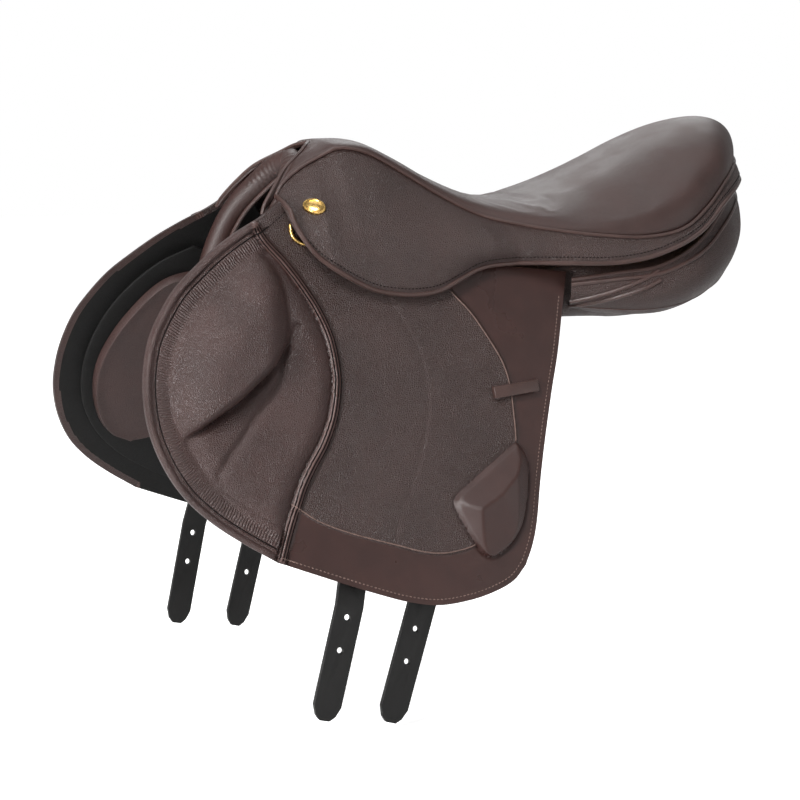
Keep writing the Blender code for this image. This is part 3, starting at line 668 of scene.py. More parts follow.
def piping(name, paths, radius, material, body="root", blend=None, ring=False):
    """Round cords of leather along paths, closed at their ends or into rings, as one piece."""
    curve = bpy.data.curves.new(name, "CURVE")
    curve.dimensions = "3D"
    curve.bevel_depth = radius
    curve.bevel_resolution = 6 if ring else 2
    curve.use_fill_caps = True
    for path in paths:
        run = curve.splines.new("POLY")
        run.points.add(len(path) - 1)
        run.use_cyclic_u = ring
        for point, place in zip(run.points, path):
            point.co = (*place[:3], 1.0)
    drawn = bpy.data.objects.new(name + "_path", curve)
    bpy.context.scene.collection.objects.link(drawn)
    bpy.context.view_layer.update()
    graph = bpy.context.evaluated_depsgraph_get()
    mesh = bpy.data.meshes.new_from_object(drawn.evaluated_get(graph), depsgraph=graph)
    bpy.data.objects.remove(drawn)
    bpy.data.curves.remove(curve)
    bm = bmesh.new()
    bm.from_mesh(mesh)
    bmesh.ops.remove_doubles(bm, verts=bm.verts, dist=radius * 0.05)
    bmesh.ops.recalc_face_normals(bm, faces=bm.faces)
    made = new_piece(name, bm, [material], None if blend else body)
    if blend:
        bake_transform(made)
    return made


def mirrored(line, side):
    """A line given on the off side, on this side."""
    return np.asarray(line) * (1, side, 1)


seat_edge_half = evenly(
    np.stack([seat_line[:, 0], seat_line[:, 1], seat_line[:, 2]], axis=1), 0.004
)
skirt_top_line = np.vstack([evenly(spline(TONGUE_SIDE[-2::-1]), 0.004)[:-1], seat_edge_half])
WELT_OUT = np.array([0.0, 0.0006, 0.0])
near_welt = mirrored(skirt_top_line + WELT_OUT, -1)
off_welt = mirrored(skirt_top_line + WELT_OUT, 1)
seat_welt = np.vstack([near_welt, off_welt[::-1][1:]])
piping("seat_welt", [seat_welt], 0.0016, edge_leather)
piping("tongue_welt", [tongue_line], 0.0017, edge_leather)

# ---- pommel roll -----------------------------------------------------------------------------
# A soft roll of calf over felt that arches across the withers in front of the head. The cover is
# gathered where it is drawn round the top of the arch.
ROLL_PATH = (
    (-0.2295, 0.0600, 0.010), (-0.2263, 0.0595, 0.020), (-0.2175, 0.0555, 0.048),
    (-0.2053, 0.0490, 0.074), (-0.1889, 0.0350, 0.0965), (-0.1775, 0.0180, 0.1120),
    (-0.1715, 0.0000, 0.1180),
)
ROLL_RADIUS = 0.0104
roll_half = spline(ROLL_PATH)
roll_line = np.vstack([roll_half, roll_half[::-1][1:] * (1, -1, 1)])


def roll_surface(around, along):
    centre = at_shares(roll_line, along)
    ahead = unit(heading(roll_line, along, 0.01))
    forward = np.tile([1.0, 0.0, 0.0], (len(centre), 1))
    outward = unit(np.cross(ahead, forward))
    forward = np.cross(outward, ahead)
    angle = 2 * math.pi * around
    from_top = np.abs(along - 0.5)
    taper = np.clip(np.minimum(along, 1 - along) / 0.06, 0.0, 1.0) ** 0.5
    gather = np.exp(-((from_top - 0.10) / 0.07) ** 2) * np.sin(along * 330 + 1.5 * np.sin(angle))
    radius = ROLL_RADIUS * (1 - 0.10 * np.exp(-(from_top / 0.05) ** 2)) * (0.55 + 0.45 * taper)
    radius = (radius + 0.00028 * gather)[:, None]
    return centre + radius * (np.cos(angle)[:, None] * outward + np.sin(angle)[:, None] * forward)


bm = grid_sheet(40, 260, roll_surface)
bmesh.ops.remove_doubles(bm, verts=bm.verts, dist=0.0001)
bmesh.ops.holes_fill(bm, edges=[e for e in bm.edges if e.is_boundary], sides=0)
bmesh.ops.recalc_face_normals(bm, faces=bm.faces)
roll = new_piece("pommel_roll", bm, [calf])
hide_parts("pommel_facing")
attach(roll, "root")
# Each leg is closed by a piped seam on its inner side
ROLL_SEAM_SET = np.array((0.0040, -0.0112, -0.0040))
for side_name, side in SIDES.items():
    seam = mirrored(evenly(roll_half[3:42] + ROLL_SEAM_SET, 0.003), side)
    piping(f"roll_piping_{side_name}", [seam], 0.0019, edge_leather)

# ---- panels ----------------------------------------------------------------------------------
# Two cushions flocked with wool bear on the horse's back, with a clear channel between them.
# Their covers are pebbled leather, with piped gussets behind.
for side_name, side in SIDES.items():
    node = f"panel_{side_name}"
    cushion(node, f"wool_panel_{side_name}", pebbled, 0.005, 0.0022, 4.0,
            0.0045)

# The cover of each panel is carried up behind as a gusset, and piped where it meets the tree.
COVER_LOW = spline([
    (0.045, -0.0120), (0.090, -0.0165), (0.130, -0.0165), (0.170, -0.0125), (0.200, -0.0060),
    (0.225, 0.0050), (0.243, 0.0200), (0.2530, 0.0380), (0.2600, 0.0520),
])
COVER_HIGH = spline([
    (0.045, 0.0160), (0.0805, 0.0215), (0.1155, 0.0260), (0.146, 0.0374), (0.1715, 0.0516),
    (0.191, 0.0677), (0.210, 0.0800), (0.235, 0.0880), (0.2600, 0.0905),
])
COVER_START = 0.045


def cover_surface(across, up):
    """The gusset's outside on the off side: across runs to the back, up to the piping."""
    behind = seat_edge_half[seat_edge_half[:, 0] > COVER_START - 0.002]
    edge = at_shares(behind, across)
    ahead = at_shares(behind, np.clip(across + 0.01, 0, 1)) - at_shares(
        behind, np.clip(across - 0.01, 0, 1)
    )
    out = unit(np.stack([-ahead[:, 1], ahead[:, 0]], axis=1))
    low = np.interp(edge[:, 0], COVER_LOW[:, 0], COVER_LOW[:, 1])
    high = np.interp(edge[:, 0], COVER_HIGH[:, 0], COVER_HIGH[:, 1])
    full = np.interp(edge[:, 0], [0.045, 0.10, 0.16, 0.26], [0.2, 0.7, 1.0, 1.0])
    fullness = -0.026 * (1 - up) ** 3.0 - 0.002 + 0.0125 * full * np.sin(math.pi * up**0.8)
    fullness -= 0.0025 * (1 - full)
    z = low + (high - low) * up
    return np.stack(
        [edge[:, 0] + fullness * out[:, 0], edge[:, 1] + fullness * out[:, 1], z], axis=1
    )


for side_name, side in SIDES.items():
    bm = grid_sheet(130, 44, lambda across, up: mirrored(cover_surface(across, up), side))
    bmesh.ops.remove_doubles(bm, verts=bm.verts, dist=0.00005)
    face_outwards(bm, (0.10, 0.0, 0.02))
    cover = new_piece(f"panel_gusset_{side_name}", bm, [pebbled])
    thick = cover.modifiers.new("hide", "SOLIDIFY")
    thick.thickness = 0.0020
    thick.offset = -1.0
    settle(cover)
    cover.data.shade_smooth()
    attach(cover, "root")
    shares = np.linspace(0.0, 1.0, 110)
    rows = [mirrored(cover_surface(shares, np.full(110, up)), side) for up in (1.0, 0.86)]
    cross = np.linspace(0.0, 0.26, 30)
    rows.append(mirrored(cover_surface(cross, 0.30 + 0.62 * (cross / 0.26)), side))
    rows.append(mirrored(cover_surface(cross, 0.12 + 0.62 * (cross / 0.26)), side))
    piping(f"gusset_piping_{side_name}", rows, 0.0019, edge_leather)
    seam = mirrored(cover_surface(shares[4:], np.full(106, 0.13)), side)
    piping(f"foot_seam_{side_name}", [seam], 0.0007, edge_leather)

# ---- flap plane --------------------------------------------------------------------------------
# The flaps, sweat flaps and girth straps all lie on one plane each side, which splays outwards
# as it drops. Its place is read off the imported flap.
FLAP_LEATHER = 0.0045
flap_low, flap_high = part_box("flap_off")
FLAP_SPREAD = (flap_high.y - flap_low.y - FLAP_LEATHER) / (flap_high.z - flap_low.z)
FLAP_AT_ZERO = flap_high.y + FLAP_SPREAD * flap_low.z


def flap_y(z):
    """Distance of the flap's outer face from the mid-plane."""
    return FLAP_AT_ZERO - FLAP_SPREAD * z


def nearest_on(points, line):
    """Each point's distance to a line, positive on its left, and the length along it."""
    start, run = line[:-1], np.diff(line, axis=0)
    gap = points[:, None] - start
    share = np.clip((gap * run).sum(2) / (run**2).sum(1), 0.0, 1.0)
    away = gap - share[..., None] * run
    distance = np.linalg.norm(away, axis=2)
    best = distance.argmin(1)
    rows = np.arange(len(points))
    turn = run[best, 0] * gap[rows, best, 1] - run[best, 1] * gap[rows, best, 0]
    length = lengths_of(line)[best] + share[rows, best] * np.linalg.norm(run[best], axis=1)
    return np.where(turn >= 0, 1.0, -1.0) * distance[rows, best], length


def patch_outline(top, bottom, front, back):
    """The closed line round a patch."""
    return np.vstack([front, top[1:], back[::-1][1:], bottom[::-1][1:]])


def plate_on_flap(name, side, outline, depth, thickness, material, body="root",
                  columns=70, rows=50, crown=0.0, rim=0.012):
    """A leather plate of this outline on the flap's plane, its outer face depth inside the flap's.

    The outline is the patch's bottom, top, front and back. Its middle may be crowned outwards."""
    border = patch_outline(outline[1], outline[0], outline[2], outline[3])
    patch = four_sided(*outline)

    def place(along, up):
        flat = patch(along, up)
        inside, _ = nearest_on(flat, border)
        rise = crown * np.sin(np.clip(np.abs(inside) / rim, 0, 1) * math.pi / 2)
        return np.stack([flat[:, 0], side * (flap_y(flat[:, 1]) - depth + rise), flat[:, 1]], 1)

    bm = grid_sheet(columns, rows, place)
    face_outwards(bm, (-0.15, -side * 2.0, -0.05))
    made = new_piece(name, bm, [material])
    thick = made.modifiers.new("hide", "SOLIDIFY")
    thick.thickness = thickness
    thick.offset = -1.0
    soften = made.modifiers.new("edge", "BEVEL")
    soften.width = 0.3 * thickness
    soften.segments = 2
    soften.limit_method = "ANGLE"
    soften.angle_limit = math.radians(55)
    settle(made)
    made.data.shade_smooth()
    made.data.set_sharp_from_angle(angle=math.radians(45))
    return made


# ---- panel tongues -----------------------------------------------------------------------------
# The thin forward part of each panel lies under the knee: calf over a sheet of foam, with a
# raised rib just inside its edge.
TONGUE_FRONT = spline([(-0.276, -0.136), (-0.296, -0.127), (-0.309, -0.107), (-0.315, -0.078),
                       (-0.310, -0.050), (-0.292, -0.018), (-0.262, 0.012), (-0.222, 0.022)])
TONGUE_TOP = spline([(-0.222, 0.022), (-0.175, 0.002), (-0.120, -0.026)])
TONGUE_BOTTOM = spline([(-0.276, -0.136), (-0.252, -0.131), (-0.215, -0.110), (-0.170, -0.075),
                        (-0.120, -0.045)])
TONGUE_BACK = np.array([(-0.120, -0.045), (-0.120, -0.026)])
TONGUE_DEPTH, TONGUE_THICKNESS = 0.0165, 0.0095
tongue_leather = leather("tongue_leather", (0.042, 0.0205, 0.0180), 0.42, 0.0011, 0.00016)
for side_name, side in SIDES.items():
    tongue = plate_on_flap(
        f"knee_panel_{side_name}", side, (TONGUE_BOTTOM, TONGUE_TOP, TONGUE_FRONT, TONGUE_BACK),
        TONGUE_DEPTH, TONGUE_THICKNESS, tongue_leather, crown=0.0015,
    )
    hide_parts(f"panel_tongue_{side_name}")
    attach(tongue, "root")

# ---- sweat flaps -------------------------------------------------------------------------------
# A thin black flap between the girth straps and the horse, pared and left unlined.
SWEAT_DEPTH, SWEAT_LEATHER = 0.0112, 0.0025
SWEAT_FRONT = spline([(-0.246, -0.172), (-0.282, -0.150), (-0.308, -0.124), (-0.3225, -0.092),
                      (-0.3235, -0.056), (-0.312, -0.022), (-0.292, 0.006), (-0.266, 0.028),
                      (-0.236, 0.042)])
SWEAT_TOP = spline([(-0.236, 0.042), (-0.170, 0.018), (-0.060, 0.016), (0.024, 0.010)])
SWEAT_BOTTOM = spline([(-0.246, -0.172), (-0.205, -0.188), (-0.160, -0.198), (-0.118, -0.200),
                       (-0.080, -0.190), (-0.056, -0.168)])
SWEAT_BACK = spline([(-0.056, -0.168), (-0.040, -0.130), (-0.022, -0.080), (0.000, -0.030),
                     (0.024, 0.010)])
for side_name, side in SIDES.items():
    sweat = plate_on_flap(
        f"under_flap_{side_name}", side, (SWEAT_BOTTOM, SWEAT_TOP, SWEAT_FRONT, SWEAT_BACK),
        SWEAT_DEPTH, SWEAT_LEATHER, black_leather,
    )
    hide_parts(f"sweat_flap_{side_name}")
    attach(sweat, "root")

# ---- girth straps ------------------------------------------------------------------------------
# Two long straps of black bridle leather each side, stitched to their webs and punched with six
# holes. They swing a little at the web, and their edges are creased and burnished.


def strap_leather():
    material, tree, shader, place = new_material("black_strap", 0.45, specular=0.3)
    hide = grained(tree, place, 0.0008)
    tone, mask = mottled(tree, place, (0.0062, 0.0058, 0.0056), 0.02, 0.3)
    tree.links.new(tone, shader.inputs["Base Color"])
    tree.links.new(ramp(tree, mask, 0.0, 1.0, 0.36, 0.5), shader.inputs["Roughness"])
    bumped(tree, shader, hide.outputs["Height"], 0.00008)
    return material


strap_black = strap_leather()
for side_name in SIDES:
    for which in STRAPS:
        body = f"billet_{side_name}_{which}"
        softened(body, f"girth_strap_{side_name}_{which}", strap_black, body, 0.0009,
                 angle=20.0)

# ---- flaps -------------------------------------------------------------------------------------
# Each flap is one cut of leather, lined black. The knee is quilted over shaped foam inside a
# gathered band and a rolled rim, and joined to the middle by a strip stitched in three rows. The
# middle is pebbled hide laid on the smooth flap, which shows as a border below and behind. The
# flap leaves the tree just under the skirt.
FRONT_EDGE = spline([
    (-0.2580, -0.1890), (-0.2860, -0.1715), (-0.3080, -0.1550), (-0.3260, -0.1360),
    (-0.3390, -0.1120), (-0.3460, -0.0860), (-0.3465, -0.0620), (-0.3430, -0.0400),
    (-0.3350, -0.0170), (-0.3230, 0.0020), (-0.3080, 0.0200), (-0.2900, 0.0350),
    (-0.2680, 0.0510), (-0.2450, 0.0645), (-0.2240, 0.0750), (-0.2040, 0.0890),
])
BOTTOM_EDGE = spline([
    (-0.2580, -0.1890), (-0.2320, -0.1990), (-0.2000, -0.2110), (-0.1750, -0.2200),
    (-0.1510, -0.2275), (-0.1250, -0.2320), (-0.0980, -0.2305), (-0.0750, -0.2260),
    (-0.0560, -0.2190), (-0.0425, -0.2080),
])
BACK_EDGE = spline([
    (-0.0425, -0.2080), (-0.0330, -0.1930), (-0.0250, -0.1750), (-0.0150, -0.1440),
    (-0.0040, -0.1130), (0.0110, -0.0740), (0.0240, -0.0420), (0.0380, -0.0010), (0.0460, 0.0220),
])
TOP_EDGE = spline([
    (-0.2040, 0.0890), (-0.1930, 0.0835), (-0.1810, 0.0750), (-0.1720, 0.0580),
    (-0.1650, 0.0420), (-0.1450, 0.0350), (-0.0950, 0.0300), (-0.0300, 0.0300), (0.0460, 0.0220),
])
KNEE_SEAM = spline([
    (-0.2350, 0.0650), (-0.2280, 0.0520), (-0.2150, 0.0360), (-0.2010, 0.0140),
    (-0.1920, -0.0040), (-0.1860, -0.0240), (-0.1850, -0.0480), (-0.1875, -0.0630),
    (-0.1940, -0.0820), (-0.2050, -0.1010), (-0.2180, -0.1170), (-0.2290, -0.1320),
    (-0.2380, -0.1480), (-0.2470, -0.1650), (-0.2570, -0.1860),
])
STRIP_WIDTH = 0.0085
FIRST_ROW, ROW_GAP = 0.22, 0.28
BAND_INNER = spline([
    (-0.2360, 0.0520), (-0.2660, 0.0300), (-0.2900, 0.0120), (-0.3085, -0.0090),
    (-0.3205, -0.0290), (-0.3265, -0.0510), (-0.3265, -0.0730), (-0.3200, -0.0950),
    (-0.3050, -0.1250), (-0.2820, -0.1510), (-0.2580, -0.1720),
])
KNEE_BACK = spline([
    (-0.2400, 0.0600), (-0.2300, 0.0490), (-0.2200, 0.0350), (-0.2155, 0.0190),
    (-0.2150, 0.0010), (-0.2160, -0.0160), (-0.2190, -0.0300), (-0.2225, -0.0450),
])
KNEE_FOOT = spline([
    (-0.2100, -0.0120), (-0.2190, -0.0270), (-0.2360, -0.0440), (-0.2540, -0.0565),
    (-0.2720, -0.0690), (-0.2890, -0.0780), (-0.3060, -0.0875), (-0.3190, -0.0950),
    (-0.3300, -0.1010),
])
KNEE_FOLD = spline([
    (-0.2230, -0.0280), (-0.2265, -0.0380), (-0.2340, -0.0540), (-0.2430, -0.0650),
    (-0.2580, -0.0800), (-0.2720, -0.0960), (-0.2850, -0.1090), (-0.2950, -0.1210),
])
MIDDLE_SEAM = spline([
    (-0.1300, 0.0200), (-0.1210, 0.0010), (-0.1130, -0.0150), (-0.1050, -0.0360),
    (-0.1030, -0.0600), (-0.1050, -0.0790), (-0.1110, -0.0990), (-0.1210, -0.1210),
    (-0.1340, -0.1440), (-0.1460, -0.1620), (-0.1560, -0.1840),
])
PATCH_SEAM = spline([
    (-0.0750, 0.0270), (-0.0650, 0.0110), (-0.0510, -0.0060), (-0.0410, -0.0230),
    (-0.0310, -0.0430), (-0.0270, -0.0570), (-0.0260, -0.0720), (-0.0270, -0.0880),
    (-0.0290, -0.1070), (-0.0330, -0.1300), (-0.0450, -0.1600), (-0.0620, -0.1800),
    (-0.0820, -0.1900), (-0.0990, -0.1940), (-0.1170, -0.1950), (-0.1350, -0.1920),
    (-0.1510, -0.1870), (-0.1680, -0.1820), (-0.1930, -0.1740), (-0.2170, -0.1640),
    (-0.2320, -0.1540), (-0.2420, -0.1470),
])
CALF_EDGE = spline([
    (-0.0315, -0.1120), (-0.0245, -0.1240), (-0.0260, -0.1410), (-0.0320, -0.1600),
    (-0.0410, -0.1790), (-0.0560, -0.1930), (-0.0730, -0.2000), (-0.0830, -0.1910),
    (-0.0920, -0.1730), (-0.0975, -0.1540), (-0.0800, -0.1410), (-0.0520, -0.1240),
    (-0.0315, -0.1120),
], 3)
CALF_RIDGE = np.array([(-0.0420, -0.1260), (-0.0600, -0.1490), (-0.0840, -0.1560)])
RIM_WIDTH, RIM_HEIGHT, BAND_WIDTH = 0.0056, 0.0032, 0.020
KNEE_HEIGHT, QUILT_HEIGHT, CALF_HEIGHT = 0.0190, 0.0060, 0.0170
PATCH_LEATHER, BINDING = 0.0011, 0.0060
FRONT_LENGTH = lengths_of(FRONT_EDGE)[-1]


def rounded(distance, reach):
    """Rises from 0 at the edge to 1 at reach, as stuffing does."""
    return np.sin(np.clip(distance / reach, 0.0, 1.0) * math.pi / 2)


def groove(distance, width):
    return np.exp(-((distance / width) ** 2))


def step(distance, width):
    t = np.clip(distance / width, 0.0, 1.0)
    return t * t * (3 - 2 * t)


def flap_relief(flat):
    """Height of the flap's outside above its flat leather, and what its leather needs to know."""
    front, front_run = nearest_on(flat, FRONT_EDGE)
    front = np.abs(front)
    seam, _ = nearest_on(flat, KNEE_SEAM)
    patch, _ = nearest_on(flat, PATCH_SEAM)
    on_knee = step(-seam, 0.0012)
    on_patch = step(-patch, 0.0012) * step(seam, 0.0012)
    ending = step(front_run, 0.012) * step(FRONT_LENGTH - front_run, 0.006)
    rim = ending * RIM_HEIGHT * np.sqrt(np.clip(1 - (front / (0.5 * RIM_WIDTH) - 1) ** 2, 0.0, 1.0))
    into_band = front - RIM_WIDTH
    band = 0.0021 * np.sin(np.clip(into_band / BAND_WIDTH, 0.0, 1.0) * math.pi) ** 0.5
    band -= 0.0008 * groove(front - 0.0090, 0.0012)
    inside, _ = nearest_on(flat, BAND_INNER)
    quilt = QUILT_HEIGHT * rounded(inside, 0.020) * rounded(-seam, 0.017)
    back, _ = nearest_on(flat, KNEE_BACK)
    foot, _ = nearest_on(flat, KNEE_FOOT)
    knee = KNEE_HEIGHT * rounded(inside, 0.042) * rounded(-back, 0.030) * rounded(-foot, 0.013) ** 0.7
    fold, _ = nearest_on(flat, KNEE_FOLD)
    folds = 0.0042 * groove(foot, 0.0030) * rounded(inside, 0.01)
    folds += 0.0024 * groove(back, 0.0060) * step(foot * -1 + 0.004, 0.01)
    folds += 0.0030 * groove(fold, 0.0036) * rounded(inside, 0.012)
    height = on_knee * (np.maximum(quilt + knee - folds, -0.0004) * step(inside, 0.002) + band)
    height += rim * step(0.010 - seam, 0.01)
    strip = np.clip(seam / STRIP_WIDTH, 0.0, 1.0)
    height += 0.0023 * np.sin(strip * math.pi) ** 0.6 * step(seam, 0.0008)
    height -= 0.0010 * groove(seam, 0.0014) + 0.0007 * groove(seam - STRIP_WIDTH, 0.0012)
    middle, _ = nearest_on(flat, MIDDLE_SEAM)
    height += PATCH_LEATHER * on_patch * (1 + 0.5 * step(middle, 0.0010))
    height -= 0.0006 * groove(middle, 0.0012) * on_patch
    calf, _ = nearest_on(flat, CALF_EDGE)
    ridge, _ = nearest_on(flat, CALF_RIDGE)
    in_calf = np.clip(-calf, 0.0, 1.0)
    block = np.minimum(0.0035 + in_calf * 0.70, CALF_HEIGHT - 0.30 * np.abs(ridge))
    height = np.where(calf < 0, np.maximum(height, block * step(in_calf, 0.0016)), height)
    height -= 0.0008 * groove(calf, 0.0014)
    return height, {"patch": -patch, "seam": seam, "front": front, "front_run": front_run,
                    "calf": -calf, "knee": knee / KNEE_HEIGHT}


def flap_leather():
    """The flap's hides: smooth border and blocks, pebbled middle, soft quilted knee, gathers."""
    material, tree, shader, place = new_material("flap_leather", 0.42)
    known = {
        name: add_node(tree, "Attribute", attribute_name=name).outputs["Fac"]
        for name in ("patch", "seam", "front", "front_run", "calf", "knee")
    }
    on_patch = ramp(tree, known["patch"], 0.0, 0.0006)
    off_strip = ramp(tree, known["seam"], STRIP_WIDTH - 0.0004, STRIP_WIDTH + 0.0004)
    off_calf = ramp(tree, known["calf"], -0.0004, 0.0004, 1.0, 0.0)
    middle = number(tree, "MULTIPLY", number(tree, "MULTIPLY", on_patch, off_strip), off_calf)
    knee = ramp(tree, known["seam"], -0.0003, 0.0003, 1.0, 0.0)
    coarse = grained(tree, place, PEBBLE)
    soft = grained(tree, place, 0.0016, 1.2)
    fine = grained(tree, place, SMOOTH_PORE)
    in_band = number(tree, "MULTIPLY", ramp(tree, known["front"], 0.0098, 0.0110),
                     ramp(tree, known["front"], 0.0185, 0.0205, 1.0, 0.0))
    in_band = number(tree, "MULTIPLY", in_band, knee)
    wander = add_node(tree, "TexNoise", {"Vector": place, "Scale": 160.0}).outputs["Fac"]
    turn = number(tree, "MULTIPLY_ADD", known["front_run"], 2 * math.pi / 0.0024,
                  number(tree, "MULTIPLY", wander, 7.0))
    pleats = number(tree, "MULTIPLY", number(tree, "SINE", turn), in_band)
    height = number(tree, "MULTIPLY", coarse.outputs["Height"], middle)
    height = number(tree, "MULTIPLY_ADD", number(tree, "MULTIPLY", soft.outputs["Height"], knee),
                    0.75, height)
    height = number(tree, "MULTIPLY_ADD", fine.outputs["Height"], 0.10, height)
    height = number(tree, "MULTIPLY_ADD", pleats, 0.6, height)
    strip = number(tree, "MULTIPLY", ramp(tree, known["seam"], 0.0004, 0.0010),
                   ramp(tree, known["seam"], STRIP_WIDTH - 0.0010, STRIP_WIDTH - 0.0004, 1.0, 0.0))
    turn = number(tree, "MULTIPLY_ADD", known["seam"], 2 * math.pi / (ROW_GAP * STRIP_WIDTH),
                  -2 * math.pi * FIRST_ROW / ROW_GAP)
    drawn = number(tree, "MULTIPLY", number(tree, "COSINE", turn), strip)
    height = number(tree, "MULTIPLY_ADD", drawn, -0.3, height)
    grained_tone, mask = mottled(tree, place, GRAINED_BROWN, 0.05, 0.22)
    smooth_tone, _ = mottled(tree, place, (0.035, 0.0145, 0.0120), 0.035, 0.3)
    knee_tone, _ = mottled(tree, place, (0.043, 0.0215, 0.0190), 0.04, 0.28)
    tone = mix_colours(tree, middle, smooth_tone, grained_tone)
    tone = mix_colours(tree, knee, tone, knee_tone)
    # Painted highlight and shade on the strip: its tone is raised to twice between the stitch rows as a
    # highlight, and only a little along the rows, as shade in their grooves.
    strip_highlight_and_groove_shade = ramp(tree, drawn, -0.2, 1.0, 2.0, 1.1)
    tone = mix_colours(tree, strip, tone, scaled_colour(tree, grained_tone, strip_highlight_and_groove_shade))
    # The pebbled middle is darkened in its grain's creases: painted shade in the creases.
    creases = number(tree, "MULTIPLY", coarse.outputs["Crease"], middle)
    tone = mix_colours(tree, creases, tone, scaled_colour(tree, tone, 0.5))
    tree.links.new(tone, shader.inputs["Base Color"])
    rough = ramp(tree, number(tree, "MAXIMUM", middle, knee), 0.0, 1.0, 0.27, 0.31)
    rough = number(tree, "MULTIPLY_ADD", mask, 0.08, rough)
    tree.links.new(rough, shader.inputs["Roughness"])
    bumped(tree, shader, height, 0.0006)
    return material


flap_hide = flap_leather()
# The joints by name.
hinge = {j["name"]: j for j in frame["joints"]}


def bend_across(joint, reach):
    """The start and end of a bend that runs from above a hinge to below it."""
    origin = Vector(joint["pos_m"])
    axis = Vector(joint["axis"]).normalized()
    down = Vector((0.0, 0.0, -1.0)) + axis.z * axis
    down.normalize()
    return tuple(origin - reach * down), tuple(origin + reach * down)


def one_stitch():
    """A stitch of unit size along Z: its corners and its faces."""
    bm = bmesh.new()
    bmesh.ops.create_uvsphere(bm, u_segments=6, v_segments=4, radius=0.5)
    corners = np.array([v.co for v in bm.verts])
    faces = [[v.index for v in f.verts] for f in bm.faces]
    bm.free()
    return corners, faces


STITCH_CORNERS, STITCH_FACES = one_stitch()


def stitches(rows, spacing, size):
    """A bmesh of small thread stitches along rows on a surface, each its points and normals.

    The rows are measured with their normals, so where these turn the stitches come closer.
    """
    length, width, height = size
    corners, faces = [], []
    for line, normals in rows:
        places = evenly(np.hstack([line, normals]), spacing)
        middles = (places[1:] + places[:-1]) / 2
        ahead = unit(places[1:, :3] - places[:-1, :3])
        across = unit(np.cross(middles[:, 3:], ahead))
        up = np.cross(ahead, across)
        for centre, x, y, z in zip(middles[:, :3], across, up, ahead):
            start = len(corners) * len(STITCH_CORNERS)
            frame_of_stitch = np.stack([x * width, y * height, z * length])
            corners.append(centre + STITCH_CORNERS @ frame_of_stitch)
            faces += [[start + corner for corner in face] for face in STITCH_FACES]
    mesh = bpy.data.meshes.new("stitches")
    mesh.from_pydata(np.vstack(corners).tolist(), [], faces)
    bm = bmesh.new()
    bm.from_mesh(mesh)
    bpy.data.meshes.remove(mesh)
    return bm


def on_surface(tree, side, flat, lift=0.0):
    """Where points (X, Z) meet a surface from outside, raised by lift, and the normals there."""
    found, normals = [], []
    for x, z in flat:
        hit, normal, _, _ = tree.ray_cast(Vector((x, side * 0.5, z)), Vector((0, -side, 0)))
        if hit is None:
            continue
        if normal.y * side < 0:
            normal = -normal
        found.append(hit + lift * normal)
        normals.append(normal)
    return np.array(found), np.array(normals)


def beside(line, distance):
    """The line moved to its left by distance."""
    ahead = np.gradient(line, axis=0)
    ahead /= np.linalg.norm(ahead, axis=1, keepdims=True)
    return line + distance * np.stack([-ahead[:, 1], ahead[:, 0]], axis=1)


def between(line, start, end):
    """The stretch of a line from one length along it to another."""
    run = lengths_of(line)
    end = end if end > 0 else run[-1] + end
    inner = line[(run > start) & (run < end)]
    ends = [[np.interp(s, run, c) for c in line.T] for s in (start, end)]
    return np.vstack([ends[0], inner, ends[1]])


EDGE_STITCH = (0.0023, 0.0012, 0.0011)
STITCH_SPACING = 0.0034
flap_bottom_back = np.vstack([BOTTOM_EDGE, BACK_EDGE[1:]])
relief = {}


def off_flap(along, up):
    """The off flap's outside; it also leaves in relief what the leather needs to know."""
    flat = four_sided(BOTTOM_EDGE, TOP_EDGE, FRONT_EDGE, BACK_EDGE)(along, up)
    height, known = flap_relief(flat)
    relief.update(known)
    return np.stack([flat[:, 0], flap_y(flat[:, 1]) + height, flat[:, 1]], axis=1)


one_flap = grid_sheet(210, 170, off_flap)
